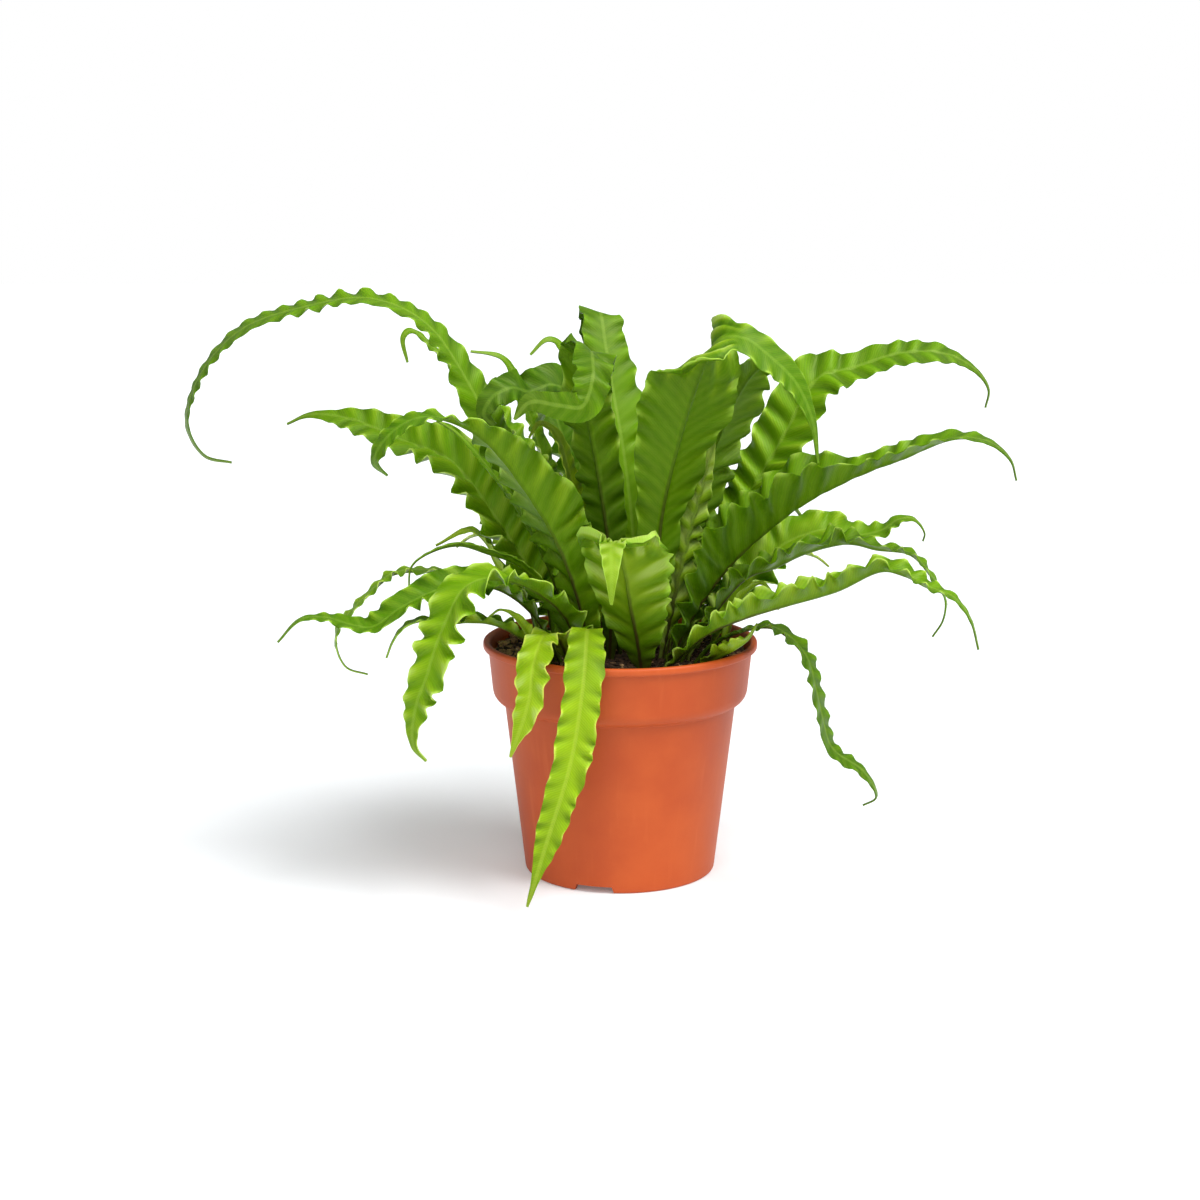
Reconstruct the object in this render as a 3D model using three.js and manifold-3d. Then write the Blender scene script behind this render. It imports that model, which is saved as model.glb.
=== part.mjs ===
// A wavy bird's nest fern in a nursery pot.
// Millimetres, +Z up. The origin is the centre of the pot's foot, on the surface below. -Y is the front.
import * as THREE from "three";
import { mergeVertices } from "three/addons/utils/BufferGeometryUtils.js";
import Module from "manifold-3d";

const wasm = await Module();
wasm.setup();

// Pot
const POT_HEIGHT = 146;
const RIM_RADIUS = 85;
const LIP_HEIGHT = 5;
const LIP_ROUNDING = 0.8;
const LIP_INNER_RADIUS = 81;
const COLLAR_TOP_RADIUS = 81.8;
const COLLAR_LOW_RADIUS = 79;
const COLLAR_LOW = 112;
const COLLAR_END = 102;
const BODY_TOP_RADIUS = 72;
const FOOT_RADIUS = 59.4;
const FOOT_ROUNDING = 1.5;
const WALL = 2;
const FLOOR_HEIGHT = 5;
const FOOT_RING_INNER_RADIUS = 54;
const CENTRE_PAD_RADIUS = 13;
const POT_SIDES = 40;
const NOTCH_COUNT = 3;
const NOTCH_WIDTH = 24;
const NOTCH_HEIGHT = 4.2;
const FRONT_NOTCH_BEARING = -106;
const DRAIN_COUNT = 6;
const DRAIN_RADIUS = 5;
const DRAIN_SIDES = 8;
const DRAIN_CIRCLE_RADIUS = 36;

// Soil
const SOIL_TOP = 134;
const SOIL_LUMP = 1.2;
const SOIL_FLAT_RADIUS = 58;
const FIT_GAP = 0.3;

// Fronds
const STEM_DEPTH = 8;
const STEM_RISE = 1.5;
const STEM_HALF_WIDTH = 2.2;
const STEM_EDGE_THICKNESS = 1.6;
const STEM_RIB_THICKNESS = 2.8;
const RIB_THICKNESS = 2;
const BLADE_THICKNESS = 0.95;
const TIP_HALF_WIDTH = 0.7;
const TIP_THICKNESS = 0.9;
const WAVE_LENGTH = 21;
const WAVE_HEIGHT = 4;
const CHANNEL_ANGLE = 30;
const TAPER = 2.6;
// Shares of a frond's length: where the stipe ends, where the blade is fully open, and where its tail begins.
const STIPE_END = 0.15;
const OPEN_END = 0.3;
const TAIL_START = 0.55;

const GREEN = 0x4f8a2a;
const DEEP_GREEN = 0x37701c;
const LIME = 0xa3bf3a;
const TERRACOTTA = 0xc8683a;
const PEAT = 0x33261d;

// A frond that rises and arches over in one direction, at reach from its foot and height above the soil.
const ARCH_SHAPE = [[0.1, 0.35], [0.34, 0.78], [0.66, 1], [0.88, 0.92], [1, 0.78]];
function arch(foot, bearing, reach, height) {
  const [x, y] = foot;
  const angle = THREE.MathUtils.degToRad(bearing);
  const rest = ARCH_SHAPE.map(([out, up]) => [
    x + reach * out * Math.cos(angle),
    y + reach * out * Math.sin(angle),
    SOIL_TOP + height * up,
  ]);
  return [foot, ...rest];
}

// One entry for a frond: the width of its blade, and the route of its rib from its foot to its tip.
// A frond can also state
// outline: the blade's width as shares of the widest, at shares of its length;
// turn: the degrees by which the blade is rolled about its rib, at shares of its length;
// channel: how far the two halves are folded up, in degrees;
// wave: the height of its waves;
// taper: higher where the blade stays wide towards its tip.
const FRONDS = {
  // The left side, from the top down
  far_left_arch: {
    width: 30,
    route: [[-24, 4], [-33, 4, 170], [-50, 2, 215], [-68, 1, 251], [-92, 3, 303], [-119, 6, 341],
      [-152, 10, 355], [-195, 15, 349], [-233, 20, 335], [-259, 22, 307], [-268, 20, 277], [-257, 16, 258],
      [-240, 14, 254]],
    turn: [[0, 0], [0.2, -40], [0.35, -40], [0.5, -15], [1, -10]],
    channel: 8,
    outline: [[0, 0.1], [0.1, 0.3], [0.22, 0.6], [0.4, 1], [0.75, 0.85], [0.9, 0.5], [1, 0]],
  },
  left_hook: {
    width: 24,
    route: [[-18, 14], [-26, 18, 180], [-50, 30, 240], [-84, 44, 288], [-112, 47, 317], [-130, 44, 333],
      [-135, 38, 329], [-132, 34, 314]],
  },
  left_long: {
    width: 46,
    route: [[-36, 9], [-42, 10, 160], [-75, 18, 215], [-106, 30, 253], [-138, 40, 265], [-170, 48, 277],
      [-196, 54, 279], [-211, 56, 273]],
    turn: [[0, 0], [0.3, -20], [1, -30]],
    channel: 36,
  },
  left_inner: {
    width: 12,
    route: [[-28, -11], [-37, -11, 177], [-59, -16, 226], [-80, -22, 256], [-98, -24, 277],
      [-110, -26, 285]],
    turn: [[0, -10], [1, -30]],
  },
  left_front_curl: {
    width: 46,
    route: [[-18, -10], [-22, -24, 163], [-36, -38, 209], [-60, -48, 252], [-83, -55, 280],
      [-106, -62, 291], [-122, -68, 290], [-137, -72, 279], [-143, -72, 266], [-136, -70, 258]],
    outline: [[0, 0.1], [0.15, 0.5], [0.3, 0.85], [0.42, 1], [0.55, 0.75], [0.68, 0.5], [0.85, 0.35],
      [1, 0]],
    turn: [[0, 10], [0.4, 30], [0.8, 10]],
    colour: DEEP_GREEN,
  },
  left_wavy: {
    width: 13,
    route: [[-48, -2], [-62, -12, 182], [-92, -17, 190], [-116, -20, 193], [-138, -24, 192],
      [-152, -28, 181], [-162, -30, 171], [-171, -32, 160], [-173, -32, 149], [-167, -32, 135],
      [-154, -30, 130]],
    channel: 8,
    taper: 6,
    wave: 2.5,
  },
  left_thin: {
    width: 10,
    route: [[-40, -10], [-46, -22, 180], [-61, -26, 198], [-80, -29, 206], [-97, -31, 211],
      [-114, -33, 207], [-126, -34, 198], [-128, -34, 183]],
    wave: 2,
  },
  left_dark: {
    width: 26,
    route: [[-37, -16], [-52, -24, 166], [-71, -36, 184], [-90, -49, 190], [-110, -56, 187],
      [-130, -62, 178], [-148, -66, 167], [-175, -70, 174], [-189, -72, 173], [-202, -74, 160]],
    turn: [[0, 0], [0.5, -25], [1, 0]],
    wave: 3,
    colour: DEEP_GREEN,
  },
  left_young: {
    width: 14,
    route: [[-44, 12], [-58, 13, 168], [-69, 14, 180], [-77, 14, 192], [-82, 12, 204], [-93, 8, 213],
      [-114, 4, 204]],
    wave: 2,
    colour: LIME,
  },
  left_front_broad: {
    width: 38,
    route: [[-22, -28], [-33, -46, 170], [-49, -61, 188], [-65, -71, 197], [-80, -79, 199],
      [-92, -88, 194], [-100, -95, 180], [-107, -100, 163], [-112, -104, 147], [-119, -107, 127],
      [-120, -108, 106], [-113, -108, 97]],
    outline: [[0, 0.1], [0.15, 0.45], [0.3, 0.75], [0.5, 1], [0.85, 0.85], [1, 0]],
    turn: [[0, 0], [0.4, 0], [0.7, -20]],
    wave: 3,
    channel: 14,
  },
  left_low: {
    width: 15,
    route: [[-42, -28], [-56, -37, 152], [-68, -43, 162], [-79, -48, 167], [-91, -54, 169],
      [-105, -59, 169], [-119, -63, 171], [-129, -66, 167], [-135, -67, 159], [-139, -67, 149]],
    colour: DEEP_GREEN,
  },
  left_lime: {
    width: 11,
    route: [[-46, -42], [-52, -49, 153], [-59, -54, 167], [-66, -58, 175], [-72, -61, 177],
      [-78, -62, 173]],
    wave: 2,
    colour: LIME,
  },
  front_lime: {
    width: 19,
    route: [[-30, -32], [-37, -51, 157], [-45, -64, 162], [-51, -82, 150], [-54, -92, 128],
      [-65, -92, 95]],
    channel: 12,
    taper: 5,
    wave: 2.5,
    colour: LIME,
  },
  front_hanging: {
    width: 27,
    route: [[-17, -40], [-19, -54, 160], [-20, -69, 166], [-22, -96, 142], [-29, -104, 97],
      [-45, -108, 43], [-55, -112, 10]],
    channel: 10,
    taper: 5,
    wave: 2.5,
    colour: LIME,
  },
  // The middle
  front: {
    width: 50,
    route: [[13, -32], [10, -43, 156], [6, -52, 177], [2, -62, 202], [-4, -76, 220], [-6, -98, 217],
      [-6, -108, 205], [-6, -112, 190]],
    outline: [[0, 0.15], [0.2, 0.65], [0.45, 1], [0.62, 0.95], [0.7, 0.4], [0.8, 0.26], [1, 0]],
    channel: 14,
    wave: 2.5,
    colour: DEEP_GREEN,
  },
  middle_curl: {
    width: 32,
    route: [[-6, -4], [-5, -8, 172], [-7, -8, 206], [-11, -6, 235], [-16, -4, 265], [-21, -4, 292],
      [-21, -16, 319], [-18, -32, 327], [-17, -46, 324], [-17, -58, 313], [-23, -66, 298], [-36, -70, 299],
      [-53, -72, 301], [-62, -72, 291]],
    outline: [[0, 0.1], [0.15, 0.55], [0.3, 0.75], [0.5, 0.9], [0.62, 1], [0.72, 0.75], [0.85, 0.4],
      [1, 0]],
    channel: 14,
    wave: 3,
  },
  middle_knot: {
    width: 28,
    route: [[0, 8], [-6, 10, 194], [-19, 13, 268], [-33, 13, 312], [-44, 9, 316], [-58, 3, 314],
      [-70, -10, 318], [-81, -18, 310], [-84, -20, 300], [-78, -20, 293]],
    outline: [[0, 0.1], [0.35, 0.35], [0.5, 0.5], [0.6, 0.95], [0.8, 0.9], [1, 0]],
    colour: DEEP_GREEN,
  },
  middle_lime: {
    width: 18,
    route: [[-14, 3], [-18, 10, 184], [-30, 22, 240], [-40, 22, 272], [-50, 18, 278], [-56, 12, 270]],
    wave: 2.5,
    colour: LIME,
  },
  middle_back_hair: {
    width: 18,
    route: [[-12, 27], [-22, 36, 173], [-46, 56, 241], [-60, 64, 285], [-67, 64, 304], [-75, 60, 315],
      [-94, 56, 319]],
  },
  middle_back_hook: {
    width: 22,
    route: [[-2, 24], [-9, 32, 191], [-22, 44, 262], [-32, 52, 308], [-39, 50, 325], [-46, 46, 327],
      [-56, 42, 318]],
  },
  tallest: {
    width: 26,
    route: [[12, 12], [9, 16, 193], [6, 22, 229], [1, 32, 266], [-4, 44, 293], [-9, 58, 322],
      [-12, 72, 341], [-13, 88, 338], [-14, 104, 318]],
    outline: [[0, 0.15], [0.2, 0.8], [0.45, 1], [0.78, 0.85], [1, 0]],
    channel: 14,
    wave: 3,
  },
  broad: {
    width: 50,
    route: [[14, -15], [21, -25, 175], [24, -32, 226], [34, -42, 275], [45, -52, 314], [50, -60, 328],
      [59, -64, 337], [71, -66, 337], [85, -66, 327], [101, -64, 311], [111, -62, 289], [115, -60, 264]],
    outline: [[0, 0.08], [0.13, 0.28], [0.29, 0.5], [0.4, 0.75], [0.5, 1], [0.58, 1], [0.63, 0.9],
      [0.69, 0.4], [0.85, 0.3], [1, 0]],
    turn: [[0, -10], [0.3, -20], [0.58, -20], [0.68, 60], [1, 70]],
    channel: 10,
    wave: 2.5,
    colour: DEEP_GREEN,
  },
  // The right side, from the top down
  right_dark: {
    width: 36,
    route: [[28, 0], [33, 2, 166], [45, 0, 223], [57, -4, 266], [71, -10, 300], [84, -17, 316],
      [98, -20, 312], [107, -21, 296]],
    outline: [[0, 0.1], [0.25, 0.5], [0.5, 0.95], [0.72, 0.9], [0.85, 0.4], [1, 0]],
    turn: [[0, -10], [0.3, -40], [1, -50]],
    channel: 14,
    wave: 3,
    colour: DEEP_GREEN,
  },
  right_inner: {
    width: 15,
    route: [[25, -9], [31, -13, 166], [39, -18, 205], [48, -21, 240], [53, -25, 262], [56, -28, 273]],
  },
  right_middle: {
    width: 26,
    route: [[30, 17], [38, 24, 180], [50, 31, 222], [62, 38, 255], [71, 42, 274]],
  },
  right_upper: {
    width: 40,
    route: [[38, 13], [47, 18, 161], [59, 23, 192], [72, 26, 217], [90, 32, 247], [106, 38, 274],
      [116, 42, 294], [127, 45, 305], [146, 50, 309], [177, 54, 318], [206, 58, 317], [226, 60, 306],
      [234, 60, 294], [232, 58, 283]],
    turn: [[0, 0], [0.3, 25], [0.6, 40], [1, 20]],
    outline: [[0, 0.12], [0.15, 0.55], [0.35, 0.9], [0.5, 0.9], [0.6, 0.75], [0.68, 0.5], [0.85, 0.42],
      [1, 0]],
    channel: 12,
  },
  right_long: {
    width: 58,
    route: [[28, -24], [48, -28, 174], [68, -33, 202], [108, -42, 238], [146, -50, 259], [163, -55, 266],
      [194, -62, 279], [214, -66, 277], [226, -68, 267], [230, -68, 255]],
    outline: [[0, 0.12], [0.12, 0.6], [0.28, 1], [0.52, 0.95], [0.62, 0.3], [0.75, 0.4], [0.88, 0.3],
      [1, 0]],
    turn: [[0, 0], [0.3, 8], [1, 8]],
    channel: 54,
  },
  right_behind: {
    width: 20,
    route: [[48, 18], [56, 22, 154], [75, 28, 182], [94, 30, 201], [108, 34, 213], [118, 36, 217]],
    colour: DEEP_GREEN,
  },
  right_pale: {
    width: 34,
    route: [[42, -4], [50, -1, 148], [75, 4, 174], [100, 12, 202], [131, 16, 212], [147, 18, 208],
      [163, 18, 211], [174, 18, 218], [183, 18, 218], [190, 18, 209], [189, 18, 204]],
    turn: [[0, 0], [0.4, 30], [1, 10]],
  },
  right_curly: {
    width: 28,
    outline: [[0, 0.12], [0.15, 0.55], [0.3, 0.95], [0.55, 0.9], [0.65, 0.5], [0.85, 0.35], [1, 0]],
    route: [[38, -14], [46, -16, 150], [75, -28, 190], [92, -34, 198], [110, -40, 208], [135, -46, 215],
      [152, -50, 212], [172, -54, 209], [186, -58, 193], [192, -60, 183], [191, -60, 170],
      [185, -60, 160]],
  },
  right_low: {
    width: 30,
    route: [[26, -40], [51, -53, 161], [73, -62, 173], [96, -74, 183], [124, -86, 194], [149, -98, 208],
      [162, -104, 206], [174, -108, 200], [189, -112, 194], [198, -115, 182], [203, -116, 165]],
    outline: [[0, 0.2], [0.1, 0.7], [0.25, 1], [0.5, 0.9], [0.75, 0.55], [1, 0]],
    channel: 42,
  },
  right_hanging: {
    width: 15,
    route: [[46, -22], [56, -26, 148], [72, -32, 158], [92, -40, 162], [110, -50, 148], [117, -55, 126],
      [121, -56, 109], [127, -58, 91], [146, -60, 77], [154, -60, 61], [146, -60, 56]],
    channel: 10,
    taper: 6,
    wave: 3,
  },
  right_small: {
    width: 10,
    route: [[62, -12], [67, -17, 160], [72, -19, 174], [78, -21, 182], [85, -23, 186], [91, -26, 181],
      [96, -28, 170]],
    wave: 2,
    colour: LIME,
  },
  right_young: {
    width: 16,
    route: [[50, -36], [57, -42, 143], [66, -48, 150], [76, -52, 158], [81, -54, 167]],
    wave: 3,
    colour: LIME,
  },
  // The back, which hangs over the rim away from the front
  back_left: { width: 28, route: arch([-32, 30], 137, 80, 90) },
  back_left_tall: { width: 26, route: arch([-18, 50], 110, 120, 140), colour: DEEP_GREEN },
  back_middle_tall: { width: 28, route: arch([2, 45], 94, 125, 150) },
  back_middle: { width: 32, route: arch([-2, 62], 95, 160, 100) },
  back_right_tall: { width: 28, route: arch([18, 34], 76, 120, 150), colour: DEEP_GREEN },
  back_right: { width: 30, route: arch([27, 51], 71, 155, 104) },
  back_right_low: { width: 25, route: arch([43, 40], 41, 107, 86) },
  back_low_left: { width: 24, route: arch([-32, 44], 132, 115, 60), colour: LIME },
  back_low_right: { width: 24, route: arch([58, 26], 34, 95, 55), colour: LIME },
};

// Points from the soil up, as vectors.
function routePoints([foot, ...rest]) {
  const ground = new THREE.Vector3(foot[0], foot[1], SOIL_TOP + STEM_RISE);
  return [ground, ...rest.map((point) => new THREE.Vector3(...point))];
}

// The value at a share of the length, between the pairs of share and value in stops.
function valueAt(stops, share) {
  const next = stops.findIndex(([at]) => at > share);
  if (next < 1) return stops.at(next)[1];
  const [[from, low], [to, high]] = [stops[next - 1], stops[next]];
  return THREE.MathUtils.mapLinear(share, from, to, low, high);
}

// The horizontal direction across a frond where it leaves the soil.
function acrossFoot(points) {
  const middle = points[Math.ceil(points.length / 2)];
  const heading = middle.clone().sub(points[0]).setZ(0).normalize();
  return new THREE.Vector3(-heading.y, heading.x, 0);
}

// The six corners of a blade's section, round it from the left margin over the upper face.
function sectionCorners({ point, side, face, halfWidth, fold, lift, edge, rib }) {
  const lean = new THREE.Vector3();
  const corner = (hand, up) => {
    lean.copy(face).multiplyScalar(Math.cos(fold)).addScaledVector(side, -hand * Math.sin(fold));
    return point.clone()
      .addScaledVector(side, hand * halfWidth * Math.cos(fold))
      .addScaledVector(face, halfWidth * Math.sin(fold))
      .addScaledVector(lean, hand * lift + (up * edge) / 2);
  };
  const middle = (up) => point.clone().addScaledVector(face, (up * rib) / 2);
  return [corner(1, 1), middle(1), corner(-1, 1), corner(-1, -1), middle(-1), corner(1, -1)];
}

// The sections of a frond, half a wave apart: a stipe, a channelled blade whose margins wave, and a thin tail.
function frondSections(frond) {
  const { route, width, outline, turn = [[0, 0]], taper = TAPER } = frond;
  const { channel = CHANNEL_ANGLE, wave = WAVE_HEIGHT } = frond;
  const points = routePoints(route);
  const curve = new THREE.CatmullRomCurve3(points, false, "centripetal");
  const count = Math.round(curve.getLength() / (WAVE_LENGTH / 2));
  const carried = acrossFoot(points);
  const up = new THREE.Vector3(0, 0, 1);
  const stem = {
    side: carried.clone(),
    face: up.clone().cross(carried),
    halfWidth: STEM_HALF_WIDTH,
    fold: 0,
    lift: 0,
    edge: STEM_EDGE_THICKNESS,
    rib: STEM_RIB_THICKNESS,
  };
  const buried = points[0].clone().setZ(SOIL_TOP - STEM_DEPTH);
  const sections = [{ ...stem, point: buried }, { ...stem, point: points[0] }];
  for (let i = 1; i <= count; i++) {
    const share = i / count;
    const tangent = curve.getTangentAt(share);
    carried.addScaledVector(tangent, -carried.dot(tangent)).normalize();
    const roll = THREE.MathUtils.degToRad(valueAt(turn, share));
    const side = carried.clone().applyAxisAngle(tangent, roll);
    const open = THREE.MathUtils.smoothstep(share, 0, OPEN_END) ** 0.7;
    const spread = outline ? valueAt(outline, share) : open * (1 - share ** taper);
    const tail = THREE.MathUtils.smoothstep(share, TAIL_START, 1);
    const least = share < TAIL_START ? STEM_HALF_WIDTH : TIP_HALF_WIDTH;
    const ribThickness = share < STIPE_END ? STEM_RIB_THICKNESS : RIB_THICKNESS;
    sections.push({
      point: curve.getPointAt(share),
      side,
      face: tangent.clone().cross(side),
      halfWidth: Math.max(TIP_HALF_WIDTH + (width / 2) * spread, least),
      fold: THREE.MathUtils.degToRad(channel) * Math.min(1, share / OPEN_END) * (1 - tail),
      lift: (i % 2 ? 1 : -1) * wave * Math.sqrt(spread),
      edge: THREE.MathUtils.lerp(BLADE_THICKNESS, TIP_THICKNESS, tail),
      rib: THREE.MathUtils.lerp(ribThickness, TIP_THICKNESS, tail),
    });
  }
  return sections;
}

// A closed skin over sections of six corners. Both faces of the blade are split alike, from the rib outwards.
function skin(rings) {
  const size = rings[0].length;
  const index = [];
  for (let i = 0; i + 1 < rings.length; i++) {
    for (let k = 0; k < size; k++) {
      const next = (k + 1) % size;
      const [a, b, c, d] = [i * size + k, i * size + next, (i + 1) * size + next, (i + 1) * size + k];
      const fromRib = k % 3 === 1;
      index.push(...(fromRib ? [a, b, c, a, c, d] : [a, b, d, b, c, d]));
    }
  }
  const last = (rings.length - 1) * size;
  for (const [a, b, c] of [[0, 1, 4], [0, 4, 5], [1, 2, 3], [1, 3, 4]]) {
    index.push(c, b, a, last + a, last + b, last + c);
  }
  const geometry = new THREE.BufferGeometry().setFromPoints(rings.flat()).setIndex(index);
  geometry.computeVertexNormals();
  return geometry;
}

// A closed geometry as a solid that can be joined and cut.
function solidOf(geometry) {
  const bare = geometry.clone();
  bare.deleteAttribute("normal");
  bare.deleteAttribute("uv");
  const merged = mergeVertices(bare, 1e-4);
  const corners = merged.index.array;
  const triVerts = [];
  for (let i = 0; i < corners.length; i += 3) {
    const [a, b, c] = corners.slice(i, i + 3);
    if (a !== b && b !== c && c !== a) triVerts.push(a, b, c);
  }
  const vertProperties = merged.attributes.position.array;
  const closed = new wasm.Mesh({ numProp: 3, vertProperties, triVerts: new Uint32Array(triVerts) });
  return new wasm.Manifold(closed);
}

// A solid as a geometry again.
function geometryOf(solid) {
  const { vertProperties, triVerts } = solid.getMesh();
  const geometry = new THREE.BufferGeometry();
  geometry.setAttribute("position", new THREE.BufferAttribute(vertProperties, 3));
  geometry.setIndex(new THREE.BufferAttribute(triVerts, 1));
  geometry.computeVertexNormals();
  return geometry;
}

// The solid swept by turning pairs of radius and height round the Z axis.
function turned(profile, sides) {
  const points = profile.map(([radius, height]) => new THREE.Vector2(radius, height));
  return new THREE.LatheGeometry(points, sides).rotateX(Math.PI / 2);
}

// Places a geometry at a bearing and a distance from the axis.
function aroundAxis(geometry, bearing, distance, height) {
  return geometry.translate(distance, 0, height).rotateZ(THREE.MathUtils.degToRad(bearing));
}

// The radius of the tapered wall outside, and of the collar inside, at a height.
function outerRadius(height) {
  return THREE.MathUtils.mapLinear(height, 0, COLLAR_END, FOOT_RADIUS, BODY_TOP_RADIUS);
}

function innerCollarRadius(height) {
  const share = THREE.MathUtils.inverseLerp(COLLAR_LOW, POT_HEIGHT - LIP_HEIGHT, height);
  return THREE.MathUtils.lerp(COLLAR_LOW_RADIUS, COLLAR_TOP_RADIUS, share) - WALL;
}

function potGeometry() {
  const lipBase = POT_HEIGHT - LIP_HEIGHT;
  const floorTop = FLOOR_HEIGHT + WALL;
  const profile = [
    [0, 0],
    [CENTRE_PAD_RADIUS, 0],
    [CENTRE_PAD_RADIUS, FLOOR_HEIGHT],
    [FOOT_RING_INNER_RADIUS, FLOOR_HEIGHT],
    [FOOT_RING_INNER_RADIUS, 0],
    [FOOT_RADIUS - FOOT_ROUNDING, 0],
    [outerRadius(FOOT_ROUNDING), FOOT_ROUNDING],
    [BODY_TOP_RADIUS, COLLAR_END],
    [BODY_TOP_RADIUS + 4, COLLAR_END + 1.5],
    [COLLAR_LOW_RADIUS - 0.8, COLLAR_LOW - 5],
    [COLLAR_LOW_RADIUS, COLLAR_LOW],
    [COLLAR_TOP_RADIUS, lipBase],
    [RIM_RADIUS - LIP_ROUNDING, lipBase + 0.3],
    [RIM_RADIUS, lipBase + LIP_ROUNDING + 0.3],
    [RIM_RADIUS, POT_HEIGHT - LIP_ROUNDING],
    [RIM_RADIUS - LIP_ROUNDING, POT_HEIGHT],
    [LIP_INNER_RADIUS + LIP_ROUNDING, POT_HEIGHT],
    [LIP_INNER_RADIUS, POT_HEIGHT - LIP_ROUNDING],
    [innerCollarRadius(lipBase), lipBase],
    [innerCollarRadius(COLLAR_LOW), COLLAR_LOW],
    [outerRadius(COLLAR_END) - WALL, COLLAR_END],
    [outerRadius(floorTop + WALL) - WALL, floorTop + WALL],
    [outerRadius(floorTop) - 2 * WALL, floorTop],
    [0, floorTop],
  ];
  let pot = solidOf(turned(profile, POT_SIDES));
  for (let i = 0; i < DRAIN_COUNT; i++) {
    const hole = new THREE.CylinderGeometry(DRAIN_RADIUS, DRAIN_RADIUS, 3 * WALL, DRAIN_SIDES);
    const bearing = (360 / DRAIN_COUNT) * (i + 0.5);
    aroundAxis(hole.rotateX(Math.PI / 2), bearing, DRAIN_CIRCLE_RADIUS, floorTop);
    pot = pot.subtract(solidOf(hole));
  }
  const notchLength = 2 * (FOOT_RADIUS - FOOT_RING_INNER_RADIUS);
  for (let i = 0; i < NOTCH_COUNT; i++) {
    const notch = new THREE.BoxGeometry(notchLength, NOTCH_WIDTH, 2 * NOTCH_HEIGHT);
    const bearing = FRONT_NOTCH_BEARING + (360 / NOTCH_COUNT) * i;
    aroundAxis(notch, bearing, FOOT_RING_INNER_RADIUS + notchLength / 2 - 1, 0);
    pot = pot.subtract(solidOf(notch));
  }
  return geometryOf(pot);
}

// The plain hole that a stem stands in: the stem's own section, with a gap all round.
function stemHole(foot, across) {
  const reach = STEM_HALF_WIDTH + FIT_GAP;
  const edge = STEM_EDGE_THICKNESS / 2 + FIT_GAP;
  const rib = STEM_RIB_THICKNESS / 2 + FIT_GAP;
  const corners = [[reach, edge], [0, rib], [-reach, edge], [-reach, -edge], [0, -rib], [reach, -edge]];
  const outline = new THREE.Shape(corners.map(([x, y]) => new THREE.Vector2(x, y)));
  return new THREE.ExtrudeGeometry(outline, { depth: 2 * STEM_DEPTH, bevelEnabled: false })
    .rotateZ(Math.atan2(across.y, across.x))
    .translate(foot[0], foot[1], SOIL_TOP - STEM_DEPTH - FIT_GAP);
}

// How far a point of the soil's surface lies above or below its level, with none near the stems or the pot.
function lumpHeight(x, y) {
  const radius = Math.hypot(x, y);
  const wave = Math.sin(x / 4.1 + 1) * Math.cos(y / 5.3) + 0.6 * Math.sin((x + y) / 3.2);
  return SOIL_LUMP * wave * THREE.MathUtils.smoothstep(radius, SOIL_FLAT_RADIUS, SOIL_FLAT_RADIUS + 6);
}

function soilGeometry() {
  const floor = FLOOR_HEIGHT + WALL + FIT_GAP;
  const shoulder = FLOOR_HEIGHT + 2 * WALL + FIT_GAP;
  const wallRadius = (height) => outerRadius(height) - WALL - FIT_GAP;
  const profile = [
    [0, floor],
    [outerRadius(floor) - 2 * WALL - 2 * FIT_GAP, floor],
    [wallRadius(shoulder), shoulder],
    [wallRadius(COLLAR_END), COLLAR_END + FIT_GAP / 2],
    [innerCollarRadius(COLLAR_LOW) - FIT_GAP, COLLAR_LOW + FIT_GAP / 2],
    [innerCollarRadius(SOIL_TOP) - FIT_GAP, SOIL_TOP],
    [SOIL_FLAT_RADIUS + 13, SOIL_TOP],
    [SOIL_FLAT_RADIUS + 6, SOIL_TOP],
    [SOIL_FLAT_RADIUS, SOIL_TOP],
    [0, SOIL_TOP],
  ];
  const bulk = turned(profile, POT_SIDES);
  const position = bulk.attributes.position;
  for (let i = 0; i < position.count; i++) {
    const [x, y, z] = [position.getX(i), position.getY(i), position.getZ(i)];
    const inside = Math.hypot(x, y) < innerCollarRadius(SOIL_TOP) - 1;
    if (z > SOIL_TOP - 1 && inside) position.setZ(i, z + lumpHeight(x, y));
  }
  let soil = solidOf(bulk);
  for (const { route } of Object.values(FRONDS)) {
    soil = soil.subtract(solidOf(stemHole(route[0], acrossFoot(routePoints(route)))));
  }
  return geometryOf(soil);
}

function mesh(name, geometry, color, roughness) {
  const made = new THREE.Mesh(geometry, new THREE.MeshStandardMaterial({ color, roughness, metalness: 0 }));
  made.name = name;
  return made;
}

const plant = new THREE.Group();
plant.add(mesh("pot", potGeometry(), TERRACOTTA, 0.55));
plant.add(mesh("soil", soilGeometry(), PEAT, 0.95));
for (const [name, frond] of Object.entries(FRONDS)) {
  const rings = frondSections(frond).map(sectionCorners);
  plant.add(mesh("frond_" + name, skin(rings), frond.colour ?? GREEN, 0.45));
}

export default plant;
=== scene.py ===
"""A wavy bird's nest fern in a terracotta-coloured nursery pot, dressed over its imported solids.

Lengths in the tables are millimetres. The origin is the centre of the pot's foot, and -Y is the front.
"""

import math

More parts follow.
